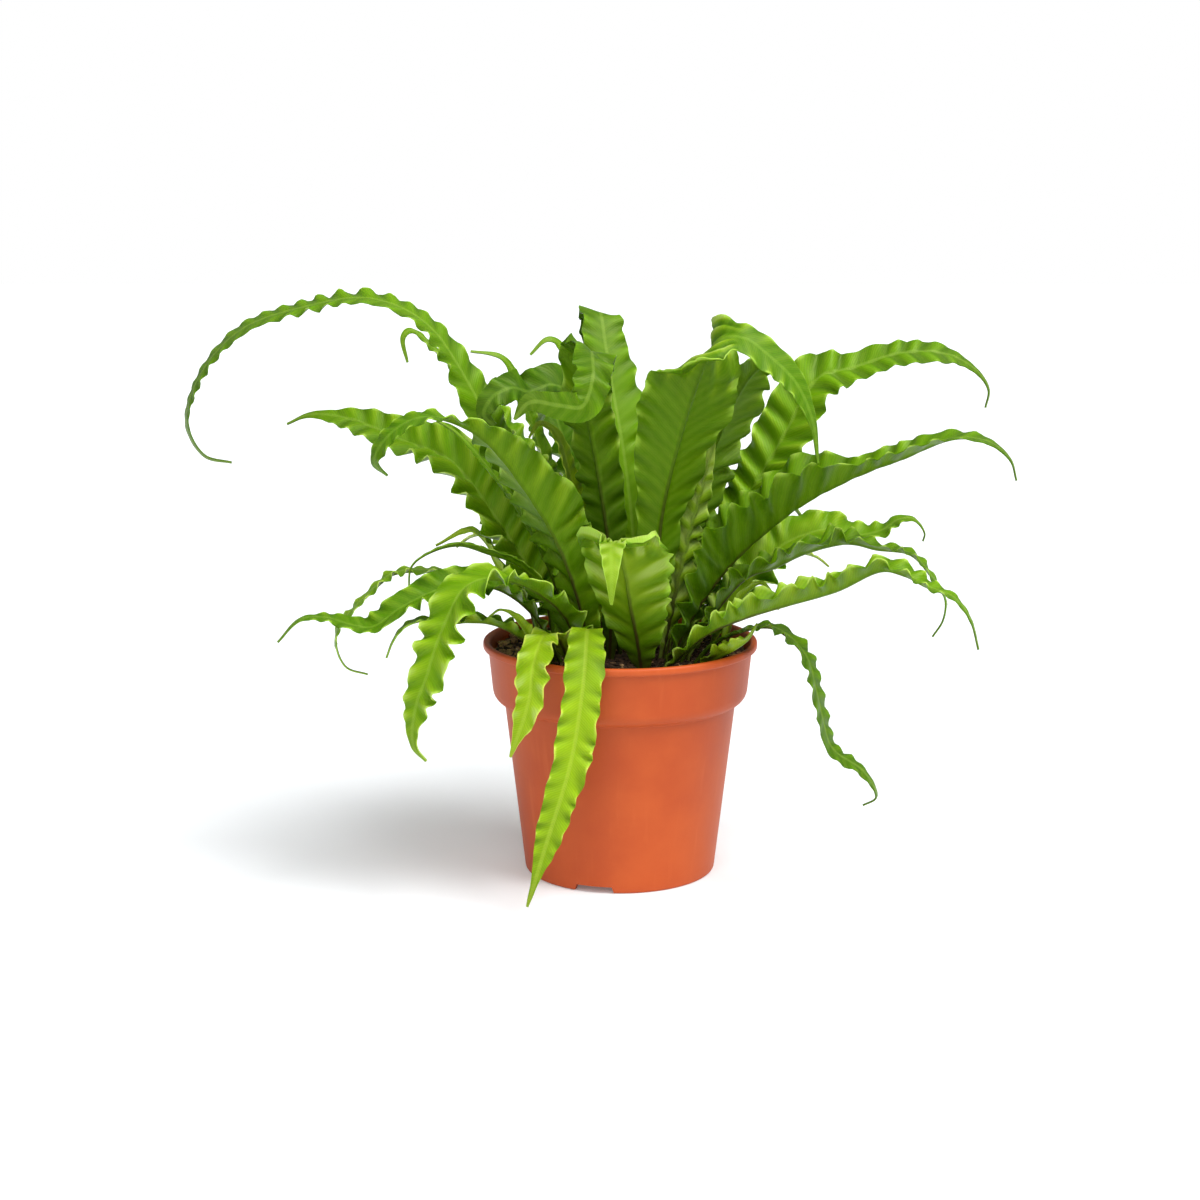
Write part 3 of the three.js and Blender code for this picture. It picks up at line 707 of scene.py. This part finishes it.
def blade_thickness(form, across):
    """How far the two faces lie from the middle surface: round at the stipe, keeled under the rib."""
    outward = np.abs(across) * form["half_width"][:, None]
    opened = smoothstep(form["share"], OPENED_FROM, OPENED_TO)[:, None]
    tail = form["tail"][:, None]
    near_rib = np.exp(-((outward / RIB_HALF_WIDTH) ** 2))
    margin = BLADE_THICKNESS * (1 - MARGIN_THINNING * across**2)
    edge = (margin * (1 - tail) + TIP_THICKNESS * tail) / 2
    keel = (RIB_THICKNESS - BLADE_THICKNESS / 2) * (1 - KEEL_FADE * tail) * near_rib
    groove = GROOVE_DEPTH * near_rib * (1 - tail)
    round_stem = STEM_THICKNESS / 2 * np.sqrt(1 - STEM_ROUNDNESS * across**2)
    upper = round_stem * (1 - opened) + (edge - groove) * opened
    lower = round_stem * (1 - opened) + (edge + keel) * opened
    return upper, lower


def surface_normals(grid):
    along = np.gradient(grid, axis=0)
    aside = np.gradient(grid, axis=1)
    return unit(np.cross(aside, along))


def skin_faces(count, size):
    """The quads between the rings of a frond, and those that close its foot and its tip."""
    ring = np.arange(count - 1)[:, None] * size
    here = np.arange(size)
    after = (here + 1) % size
    sides = np.stack([ring + here, ring + after, ring + after + size, ring + here + size], axis=-1)
    k = np.arange(size // 2 - 1)
    foot = np.stack([k + 1, k, size - 1 - k, size - 2 - k], axis=-1)
    tip = (count - 1) * size + foot[:, ::-1]
    return np.vstack([sides.reshape(-1, 4), foot, tip])


def all_round(values):
    """What is known over the upper face, repeated for the under face and for the buried foot."""
    both = np.concatenate([values, values[:, ::-1]], axis=1)
    return np.concatenate([both[:1], both])


def frond_skin(form, draws, painted_light_and_tone):
    """The closed skin of a frond: points, faces, and what its leaf finish reads at each point."""
    grid, crests, across = frond_surface(form, draws)
    upper, lower = blade_thickness(form, across)
    normals = surface_normals(grid)
    above, below = grid + normals * upper[..., None], grid - normals * lower[..., None]
    rings = np.concatenate([above, below[:, ::-1]], axis=1)
    rings = np.concatenate([rings[:1] + [0, 0, -STEM_DEPTH - STEM_RISE], rings])

    blade = grid.shape[:2]
    outward = across * form["half_width"][:, None] * MM
    station = np.broadcast_to(form["distances"][:, None] * MM, blade)
    share = np.broadcast_to(form["share"][:, None], blade)
    place = all_round(np.stack([outward, station, share], axis=-1))
    far_out = np.broadcast_to(np.abs(across), blade)
    # Wave crests are painted paler: a painted highlight
    painted_light_and_tone = np.clip(painted_light_and_tone[:, None] + PAINTED_CREST_HIGHLIGHT * crests, 0, 1)
    side = all_round(np.stack([np.zeros(blade), far_out, painted_light_and_tone], axis=-1))
    side[:, blade[1]:, 0] = 1
    return rings.reshape(-1, 3), skin_faces(*rings.shape[:2]), place.reshape(-1, 3), side.reshape(-1, 3)


def new_piece(name, points, faces, finish, sharp=None):
    """A mesh object of its own, from points in millimetres."""
    mesh = bpy.data.meshes.new(name)
    corners = [[int(corner) for corner in face] for face in faces]
    mesh.from_pydata((np.asarray(points) * MM).tolist(), [], corners)
    mesh.update()
    mesh.shade_smooth()
    if sharp is not None:
        mesh.set_sharp_from_angle(angle=math.radians(sharp))
    mesh.materials.append(finish)
    piece = bpy.data.objects.new(name, mesh)
    bpy.context.scene.collection.objects.link(piece)
    return piece


def hold(piece, slot, *nodes):
    """The piece rides on the plant's one body and stands for CAD nodes, which it hides; its slot is not
    used.
    """
    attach(piece, "root")
    if nodes:
        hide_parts(*nodes)
    return piece


def add_vectors(mesh, name, vectors):
    attribute = mesh.attributes.new(name, "FLOAT_VECTOR", "POINT")
    attribute.data.foreach_set("vector", vectors.astype(np.float32).ravel())


def make_frond(name, frond, number, finishes):
    draws = np.random.default_rng(number)
    form = frond_form(frond)
    # Each frond's painted light and shade, with a little of its own tone, unless the frond states its own
    usual_light_and_tone = draws.uniform(0.3, 0.65)
    painted_light_and_tone = along_frond(frond.get("painted_light_and_tone", usual_light_and_tone), form["share"])
    points, faces, place, side = frond_skin(form, draws, painted_light_and_tone)
    leaf = frond.get("leaf", "green")
    piece = new_piece("leaf_" + name, points, faces, finishes[leaf], sharp=80)
    add_vectors(piece.data, "blade_place", place)
    add_vectors(piece.data, "blade_side", side)
    return hold(piece, leaf + "_frond", "frond_" + name)


class Link:
    """A number or vector inside a finish. Arithmetic on it adds Math nodes."""

    def __init__(self, finish, socket):
        self.finish, self.socket = finish, socket

    def maths(self, operation, *others):
        return self.finish.node("Math", {"operation": operation}, dict(enumerate([self, *others])))

    def __add__(self, other):
        return self.maths("ADD", other)

    def __mul__(self, other):
        return self.maths("MULTIPLY", other)

    def __sub__(self, other):
        return self.maths("SUBTRACT", other)

    def __rsub__(self, other):
        return self.finish.node("Math", {"operation": "SUBTRACT"}, {0: other, 1: self})

    __radd__ = __add__
    __rmul__ = __mul__


class Finish:
    """A procedural material: a Principled surface, and the nodes that feed it."""

    def __init__(self, name):
        self.material = bpy.data.materials.new(name)
        self.material.use_nodes = True
        self.tree = self.material.node_tree
        self.tree.nodes.clear()

    def node(self, kind, settings=None, sockets=None, out=0):
        made = self.tree.nodes.new("ShaderNode" + kind)
        for name, value in (settings or {}).items():
            setattr(made, name, value)
        for name, value in (sockets or {}).items():
            if isinstance(value, Link):
                self.tree.links.new(value.socket, made.inputs[name])
            else:
                made.inputs[name].default_value = value
        return Link(self, made.outputs[out])

    def mix(self, share, first, second):
        return self.node("Mix", {"data_type": "RGBA"}, {0: share, 6: first, 7: second}, out=2)

    def noise(self, place, scale, detail=2, roughness=0.5):
        sockets = {"Vector": place, "Scale": scale, "Detail": detail, "Roughness": roughness}
        return self.node("TexNoise", None, sockets)

    def between(self, value, low, high):
        """0 below low, 1 above high, and smooth in between."""
        return self.node("MapRange", {"interpolation_type": "SMOOTHSTEP"}, {0: value, 1: low, 2: high})

    def parts(self, vector):
        split = self.node("SeparateXYZ", None, {0: vector}).socket.node
        return [Link(self, socket) for socket in split.outputs]

    def object_place(self):
        return self.node("TexCoord", out="Object")

    def surface(self, **sockets):
        """Ends the finish with its Principled surface, whose sockets are named with underscores."""
        named = {name.replace("_", " "): value for name, value in sockets.items()}
        shader = self.node("BsdfPrincipled", None, named)
        end = self.tree.nodes.new("ShaderNodeOutputMaterial")
        self.tree.links.new(shader.socket, end.inputs["Surface"])
        return self.material


def srgb(red, green, blue):
    """A colour as read from a screen, 0 to 255, in the linear values that shaders take."""
    def linear(value):
        value /= 255
        return value / 12.92 if value <= 0.04045 else ((value + 0.055) / 1.055) ** 2.4
    return (linear(red), linear(green), linear(blue), 1)


# Each green: its upper face, its under face, and a pale green that is painted as a highlight along lit
# margins and that also marks the rib above
LEAF_GREENS = {
    "green": (srgb(100, 144, 1), srgb(88, 126, 0), srgb(176, 206, 90)),
    "deep_green": (srgb(76, 120, 0), srgb(86, 124, 0), srgb(156, 194, 70)),
    "lime": (srgb(144, 178, 20), srgb(136, 168, 20), srgb(206, 222, 92)),
}
# Laid over the greens: a painted sunlit green, a pale painted sheen and a painted shade, then the leaf's
# own mottle, veins, tip, rib and stipe colours
SUNLIT = srgb(176, 206, 42)
PAINTED_SHEEN = srgb(186, 206, 118)
SHADED = srgb(38, 72, 0)
MOTTLED = srgb(62, 108, 2)
PALE_VEIN = srgb(160, 190, 60)
DARK_VEIN = srgb(40, 76, 0)
DARKER_TIP = srgb(66, 84, 16)
RIB_BELOW = srgb(52, 82, 2)
STIPE_BROWN = srgb(58, 40, 22)
VEIN_SPACING = 0.0016
VEIN_SLANT = 0.75
VEIN_WANDER = 0.0022


def leaf_finish(name, upper, under, margin):
    """A satin leaf: oblique veins out from a rib that is pale above and brown below near its base."""
    leaf = Finish(name + "_leaf")
    place = leaf.node("Attribute", {"attribute_name": "blade_place"}, out="Vector")
    side = leaf.node("Attribute", {"attribute_name": "blade_side"}, out="Vector")
    outward, station, share = leaf.parts(place)
    below, far_out, painted_light_and_tone = leaf.parts(side)
    from_rib = outward.maths("ABSOLUTE")
    wander = leaf.noise(place, 60)
    mottle = leaf.noise(leaf.object_place(), 26, detail=4)
    vein_phase = (station - from_rib * VEIN_SLANT + wander * VEIN_WANDER) * (2 * math.pi / VEIN_SPACING)
    veins = vein_phase.maths("SINE") * 0.5 + 0.5
    broad_veins = (vein_phase * 0.23 + wander * 3).maths("SINE") * 0.5 + 0.5
    colour = leaf.mix(below, upper, under)
    # Painted light and shade: where the frond is painted lit, its colour turns to a sunlit green and then
    # a pale painted sheen; where it is painted shaded, it turns to a dark green
    colour = leaf.mix(leaf.between(painted_light_and_tone, 0.5, 1) * 0.55, colour, SUNLIT)
    colour = leaf.mix(leaf.between(painted_light_and_tone, 0.8, 1) * 0.5, colour, PAINTED_SHEEN)
    colour = leaf.mix((1 - leaf.between(painted_light_and_tone, 0, 0.5)) * 0.65, colour, SHADED)
    colour = leaf.mix(leaf.between(mottle, 0.35, 0.75) * 0.3, colour, MOTTLED)
    colour = leaf.mix(broad_veins * 0.08, colour, PALE_VEIN)
    colour = leaf.mix((1 - veins) * 0.17, colour, DARK_VEIN)
    # Darker towards the tip
    colour = leaf.mix(leaf.between(share, 0.86, 1) * 0.35, colour, DARKER_TIP)
    # Margins are painted pale where the frond is painted lit: a painted highlight
    painted_margin_highlight = leaf.between(far_out, 0.84, 1) * leaf.between(painted_light_and_tone, 0.42, 0.8)
    colour = leaf.mix(painted_margin_highlight * 0.8, colour, margin)
    rib = 1 - leaf.between(from_rib, 0.0006, 0.0016)
    colour = leaf.mix(rib * (1 - below) * 0.15, colour, margin)
    colour = leaf.mix(rib * below * 0.4, colour, RIB_BELOW)
    base = 1 - leaf.between(share, 0.15, 0.5)
    colour = leaf.mix(rib * below * base * 0.85, colour, STIPE_BROWN)
    stipe = 1 - leaf.between(share, 0.0, 0.1)
    colour = leaf.mix(stipe * 0.6, colour, STIPE_BROWN)
    height = veins * 0.4 + broad_veins * 0.35 + mottle * 0.8
    bump = leaf.node("Bump", None, {"Height": height, "Distance": 0.0003, "Strength": 0.45})
    return leaf.surface(
        Base_Color=colour,
        Roughness=0.34 + mottle * 0.2,
        Normal=bump,
        Subsurface_Weight=0.25,
        Subsurface_Radius=(0.6, 1.0, 0.1),
        Subsurface_Scale=0.002,
        Specular_IOR_Level=0.24,
        Specular_Tint=(0.9, 1.0, 0.4, 1),
    )


# The pot's plastic: its deeper and its brighter tone, and the marks down its side
POT_DEEP = srgb(176, 68, 14)
POT_BRIGHT = srgb(190, 82, 26)
POT_DRAG = srgb(206, 102, 46)


def pot_finish():
    """Moulded terracotta-coloured plastic: satin, faintly clouded, with fine upright drag marks."""
    plastic = Finish("pot_plastic")
    place = plastic.object_place()
    clouds = plastic.noise(place, 14, detail=5, roughness=0.6)
    grain = plastic.noise(place, 900, detail=2)
    stretched = plastic.node("Mapping", None, {"Vector": place, "Scale": (160, 160, 7)})
    drags = plastic.noise(stretched, 1, detail=3)
    colour = plastic.mix(plastic.between(clouds, 0.3, 0.72), POT_DEEP, POT_BRIGHT)
    colour = plastic.mix(plastic.between(drags, 0.55, 0.8) * 0.25, colour, POT_DRAG)
    height = grain * 0.3 + drags * 0.5 + clouds * 0.4
    bump = plastic.node("Bump", None, {"Height": height, "Distance": 0.00025, "Strength": 0.4})
    roughness = 0.44 + clouds * 0.16
    return plastic.surface(Base_Color=colour, Roughness=roughness, Normal=bump, Specular_IOR_Level=0.35)


def crumb_finish(name, dark, light, roughness):
    """Something granular in two tones, such as peat or bark."""
    crumb = Finish(name)
    place = crumb.object_place()
    tone = crumb.noise(place, 260, detail=5, roughness=0.7)
    fine = crumb.noise(place, 1400, detail=3, roughness=0.7)
    colour = crumb.mix(crumb.between(tone, 0.35, 0.7), dark, light)
    bump = crumb.node("Bump", None, {"Height": tone + fine * 0.5, "Distance": 0.0012, "Strength": 0.8})
    roughness = roughness + tone * 0.1
    return crumb.surface(Base_Color=colour, Roughness=roughness, Normal=bump, Specular_IOR_Level=0.2)


def rounded(corners, steps=5):
    """An outline whose corners are rounded off, each by the third number that it states."""
    points = []
    for number, (*corner, radius) in enumerate(corners):
        if not radius:
            points.append(tuple(corner))
            continue
        here = np.array(corner, float)
        before, after = (np.array(corners[number + step][:2], float) for step in (-1, 1))
        start = here + unit(before - here) * min(radius, np.linalg.norm(before - here) * 0.45)
        end = here + unit(after - here) * min(radius, np.linalg.norm(after - here) * 0.45)
        for t in np.linspace(0, 1, steps):
            points.append(tuple((1 - t) ** 2 * start + 2 * t * (1 - t) * here + t**2 * end))
    return points


def turned(profile, bearings):
    """The closed surface swept by turning pairs of radius and height that start and end on the axis."""
    first, *rings, last = profile
    circle = np.column_stack([np.cos(bearings), np.sin(bearings)])
    points = [(0, 0, first[1])]
    for radius, height in rings:
        points += [(radius * x, radius * y, height) for x, y in circle]
    points.append((0, 0, last[1]))
    size = len(bearings)
    faces = [(0, 1 + (k + 1) % size, 1 + k) for k in range(size)]
    for ring in range(len(rings) - 1):
        low, high = 1 + ring * size, 1 + (ring + 1) * size
        faces += [(low + k, low + (k + 1) % size, high + (k + 1) % size, high + k) for k in range(size)]
    top = 1 + (len(rings) - 1) * size
    faces += [(top + k, top + (k + 1) % size, len(points) - 1) for k in range(size)]
    return np.array(points, float), faces


def outer_radius(height):
    return FOOT_RADIUS + (BODY_TOP_RADIUS - FOOT_RADIUS) * height / COLLAR_END


def inner_collar_radius(height):
    share = (height - COLLAR_LOW) / (POT_HEIGHT - LIP_HEIGHT - COLLAR_LOW)
    return COLLAR_LOW_RADIUS + (COLLAR_TOP_RADIUS - COLLAR_LOW_RADIUS) * share - WALL


def pot_profile():
    """The pot's outline, from under its floor up the outside and down the inside."""
    lip_base = POT_HEIGHT - LIP_HEIGHT
    floor_top = FLOOR_HEIGHT + WALL
    return rounded([
        (0, 0, 0),
        (CENTRE_PAD_RADIUS, 0, 0.8),
        (CENTRE_PAD_RADIUS, FLOOR_HEIGHT, 0),
        (FOOT_RING_INNER_RADIUS, FLOOR_HEIGHT, 0),
        (FOOT_RING_INNER_RADIUS, 0, 0.8),
        (FOOT_RADIUS, 0, 1.8),
        (outer_radius(7), 7, 0),
        (outer_radius(7.6), 7.6, 0),
        (BODY_TOP_RADIUS, COLLAR_END, 1.2),
        (BODY_TOP_RADIUS + 4.2, COLLAR_END + 1.2, 3),
        (COLLAR_LOW_RADIUS, COLLAR_LOW - 5, 3.5),
        (COLLAR_TOP_RADIUS, lip_base, 0.8),
        (RIM_RADIUS, lip_base + 0.4, 1.4),
        (RIM_RADIUS, POT_HEIGHT, 2),
        (LIP_INNER_RADIUS, POT_HEIGHT, 2),
        (inner_collar_radius(lip_base), lip_base, 0),
        (inner_collar_radius(COLLAR_LOW), COLLAR_LOW, 3),
        (outer_radius(COLLAR_END) - WALL, COLLAR_END, 2),
        (outer_radius(floor_top) - WALL, floor_top, 4),
        (0, floor_top, 0),
    ])


def cutter(name, points, faces):
    mesh = bpy.data.meshes.new(name)
    mesh.from_pydata((np.asarray(points) * MM).tolist(), [], faces)
    made = bpy.data.objects.new(name, mesh)
    bpy.context.scene.collection.objects.link(made)
    return made


def drum(x, y, low, high, radius, sides=32):
    """A closed upright drum."""
    points, faces = turned([(0, low), (radius, low), (radius, high), (0, high)],
                           np.linspace(0, 2 * math.pi, sides, endpoint=False))
    return points + (x, y, 0), faces


def notch_block(bearing):
    """The block that a foot notch is cut with, its ends leaning a little outwards."""
    low, high, lean = -1, NOTCH_HEIGHT, 0.8
    near, far = FOOT_RING_INNER_RADIUS - 2, FOOT_RADIUS + 4
    half = NOTCH_WIDTH / 2
    corners = []
    for z, reach in ((low, half + lean), (high, half - lean)):
        corners += [(near, -reach, z), (far, -reach, z), (far, reach, z), (near, reach, z)]
    c, s = math.cos(math.radians(bearing)), math.sin(math.radians(bearing))
    points = [(x * c - y * s, x * s + y * c, z) for x, y, z in corners]
    faces = [(3, 2, 1, 0), (4, 5, 6, 7), (0, 1, 5, 4), (1, 2, 6, 5), (2, 3, 7, 6), (3, 0, 4, 7)]
    return np.array(points, float), faces


def joined(parts):
    """Several sets of points and faces as one."""
    points, faces, count = [], [], 0
    for some, theirs in parts:
        points.append(some)
        faces += [tuple(corner + count for corner in face) for face in theirs]
        count += len(some)
    return np.vstack(points), faces


def carve(piece, tool):
    """Cuts the tool's solids out of the piece for good, and removes the tool."""
    modifier = piece.modifiers.new("carve", "BOOLEAN")
    modifier.operation, modifier.solver, modifier.object = "DIFFERENCE", "EXACT", tool
    evaluated = piece.evaluated_get(bpy.context.evaluated_depsgraph_get())
    carved = bpy.data.meshes.new_from_object(evaluated)
    piece.modifiers.clear()
    piece.data = carved
    bpy.data.objects.remove(tool)


def make_pot(finish):
    bearings = np.linspace(0, 2 * math.pi, 180, endpoint=False)
    points, faces = turned(pot_profile(), bearings)
    pot = new_piece("nursery_pot", points, faces, finish)
    cuts = [notch_block(FRONT_NOTCH_BEARING + 360 / NOTCH_COUNT * number) for number in range(NOTCH_COUNT)]
    for number in range(DRAIN_COUNT):
        bearing = 2 * math.pi / DRAIN_COUNT * (number + 0.5)
        cuts.append(drum(DRAIN_CIRCLE_RADIUS * math.cos(bearing), DRAIN_CIRCLE_RADIUS * math.sin(bearing),
                         FLOOR_HEIGHT - 3, FLOOR_HEIGHT + WALL + 3, DRAIN_RADIUS))
    carve(pot, cutter("cuts", *joined(cuts)))
    pot.data.shade_smooth()
    pot.data.set_sharp_from_angle(angle=math.radians(35))
    return hold(pot, "pot", "pot")


def lumps(x, y):
    """How far the soil's surface lies above its level: it is heaped a little towards the rim."""
    slow = np.sin(x / 9 + 1) * np.cos(y / 11) + 0.6 * np.sin((x + y) / 7)
    quick = np.sin(x / 2.3 + 2 * np.sin(y / 4.7)) * np.cos(y / 2.9 + 2 * np.sin(x / 5.1))
    fine = np.sin(x / 0.9 + 3 * np.sin(y / 2.1)) * np.sin(y / 1.1 + 3 * np.sin(x / 1.7))
    heap = SOIL_HEAP * smoothstep(np.hypot(x, y), *HEAP_RADII)
    return 0.7 * slow + 0.7 * quick + 0.35 * fine + heap


def make_soil(finish):
    floor = FLOOR_HEIGHT + WALL + SOIL_GAP
    edge = inner_collar_radius(SOIL_TOP) - SOIL_GAP
    rings = np.arange(edge - 1, 0.9, -1.3)
    profile = [
        (0, floor),
        (outer_radius(floor) - 3 * WALL, floor),
        (outer_radius(floor + 4) - WALL - SOIL_GAP, floor + 4),
        (outer_radius(COLLAR_END) - WALL - SOIL_GAP, COLLAR_END),
        (inner_collar_radius(COLLAR_LOW) - SOIL_GAP, COLLAR_LOW),
        (edge, SOIL_TOP - 1),
        *[(radius, SOIL_TOP) for radius in rings],
        (0, SOIL_TOP),
    ]
    points, faces = turned(profile, np.linspace(0, 2 * math.pi, 200, endpoint=False))
    on_top = points[:, 2] > SOIL_TOP - 0.5
    points[on_top, 2] += lumps(points[on_top, 0], points[on_top, 1])
    return hold(new_piece("peat", points, faces, finish), "soil", "soil")


def pebble(draws, size, flat):
    """A small faceted lump: an octahedron split once, pushed about and flattened."""
    corners = np.array([(1, 0, 0), (-1, 0, 0), (0, 1, 0), (0, -1, 0), (0, 0, 1), (0, 0, -1)], float)
    faces, points, halves = [], list(corners), {}

    def half(a, b):
        key = (min(a, b), max(a, b))
        if key not in halves:
            halves[key] = len(points)
            points.append(unit(points[a] + points[b]))
        return halves[key]

    eighths = [(0, 2, 4), (2, 1, 4), (1, 3, 4), (3, 0, 4), (2, 0, 5), (1, 2, 5), (3, 1, 5), (0, 3, 5)]
    for a, b, c in eighths:
        ab, bc, ca = half(a, b), half(b, c), half(c, a)
        faces += [(a, ab, ca), (ab, b, bc), (ca, bc, c), (ab, bc, ca)]
    form = np.array(points) * draws.uniform(0.7, 1.25, (len(points), 1))
    form *= size * np.array([draws.uniform(0.8, 1.6), draws.uniform(0.6, 1), flat])
    turn, tip = draws.uniform(0, 2 * math.pi), draws.uniform(-0.5, 0.5)
    tipped = np.array([turned_about(point, np.array([1.0, 0, 0]), tip) for point in form])
    return np.array([turned_about(point, UP, turn) for point in tipped]), faces


def strew(name, count, sizes, flat, finish, seed, bearings=(0, 360), radii=(8, 76)):
    """Crumbs strewn over the soil, as one piece."""
    draws = np.random.default_rng(seed)
    crumbs = []
    for _ in range(count):
        bearing = math.radians(draws.uniform(*bearings))
        radius = math.sqrt(draws.uniform(radii[0] ** 2, radii[1] ** 2))
        x, y = radius * math.cos(bearing), radius * math.sin(bearing)
        size = draws.uniform(*sizes)
        points, faces = pebble(draws, size, flat)
        crumbs.append((points + (x, y, SOIL_TOP + lumps(x, y) + size * flat * 0.4), faces))
    return hold(new_piece(name, *joined(crumbs), finish, sharp=50), "soil")


# Camera: the lens and place that put the pot's rim, foot and axis where the photograph has them
LENS = 67.86
CAMERA_PLACE = (-0.0125, -1.372, 0.447)
CAMERA_TILT_DOWN = 11.4

# Studio
SURROUND_LIGHT = 0.31
KEY_LIGHT = 3.5
FRONT_LIGHT = 1.5
FLOOR_GLOW = 0.1


def make_camera():
    data = bpy.data.cameras.new("camera")
    data.lens = LENS
    camera = bpy.data.objects.new("camera", data)
    camera.location = CAMERA_PLACE
    camera.rotation_euler = (math.radians(90 - CAMERA_TILT_DOWN), 0, 0)
    bpy.context.scene.collection.objects.link(camera)
    bpy.context.scene.camera = camera


def make_sun(name, towards, spread, strength):
    """A soft light from far away: the direction to it, and how many degrees wide it is."""
    data = bpy.data.lights.new(name, "SUN")
    data.angle, data.energy = math.radians(spread), strength
    light = bpy.data.objects.new(name, data)
    light.rotation_euler = Vector(towards).to_track_quat("Z", "Y").to_euler()
    bpy.context.scene.collection.objects.link(light)


def make_floor():
    half = 6
    mesh = bpy.data.meshes.new("floor")
    corners = [(-half, -half, 0), (half, -half, 0), (half, half, 0), (-half, half, 0)]
    mesh.from_pydata(corners, [], [(0, 1, 2, 3)])
    paper = Finish("floor_paper")
    tone = paper.noise(paper.object_place(), 3)
    colour = paper.mix(tone * 0.1, srgb(233, 236, 238), srgb(229, 232, 234))
    mesh.materials.append(paper.surface(Base_Color=colour, Roughness=0.9, Specular_IOR_Level=0.1,
                                        Emission_Color=(1, 1, 1, 1), Emission_Strength=FLOOR_GLOW))
    floor = bpy.data.objects.new("floor", mesh)
    bpy.context.scene.collection.objects.link(floor)


def make_studio():
    """A white surround that the camera sees at full white, with a softer light from it on the plant."""
    world = bpy.data.worlds.new("studio")
    world.use_nodes = True
    tree = world.node_tree
    background = tree.nodes["Background"]
    background.inputs["Color"].default_value = (1, 1, 1, 1)
    paths = tree.nodes.new("ShaderNodeLightPath")
    strength = tree.nodes.new("ShaderNodeMapRange")
    strength.inputs["To Min"].default_value = SURROUND_LIGHT
    strength.inputs["To Max"].default_value = 1.0
    tree.links.new(paths.outputs["Is Camera Ray"], strength.inputs["Value"])
    tree.links.new(strength.outputs["Result"], background.inputs["Strength"])
    bpy.context.scene.world = world
    bpy.context.scene.view_settings.view_transform = "Standard"
    make_sun("key_light", (1.0, -0.5, 1.7), 38, KEY_LIGHT)
    make_sun("front_light", (-0.2, -1.0, 0.75), 50, FRONT_LIGHT)


make_camera()
make_floor()
make_studio()

leaf_finishes = {name: leaf_finish(name, *greens) for name, greens in LEAF_GREENS.items()}
for number, (name, frond) in enumerate(FRONDS.items()):
    make_frond(name, frond, number, leaf_finishes)

make_pot(pot_finish())
peat = crumb_finish("peat_crumb", srgb(36, 26, 18), srgb(92, 68, 48), 0.8)
bark = crumb_finish("bark_chip", srgb(112, 82, 54), srgb(192, 154, 108), 0.75)
perlite = crumb_finish("perlite_grain", srgb(196, 186, 160), srgb(236, 230, 214), 0.85)
make_soil(peat)
strew("peat_crumbs", 1300, (0.6, 2.0), 0.7, peat, 101)
strew("bark_chips", 230, (0.8, 2.2), 0.45, bark, 102)
strew("rim_chips", 210, (1.1, 3.2), 0.55, bark, 104, bearings=(150, 320), radii=(58, 77))
strew("perlite_grains", 60, (0.5, 1.2), 0.8, perlite, 103)
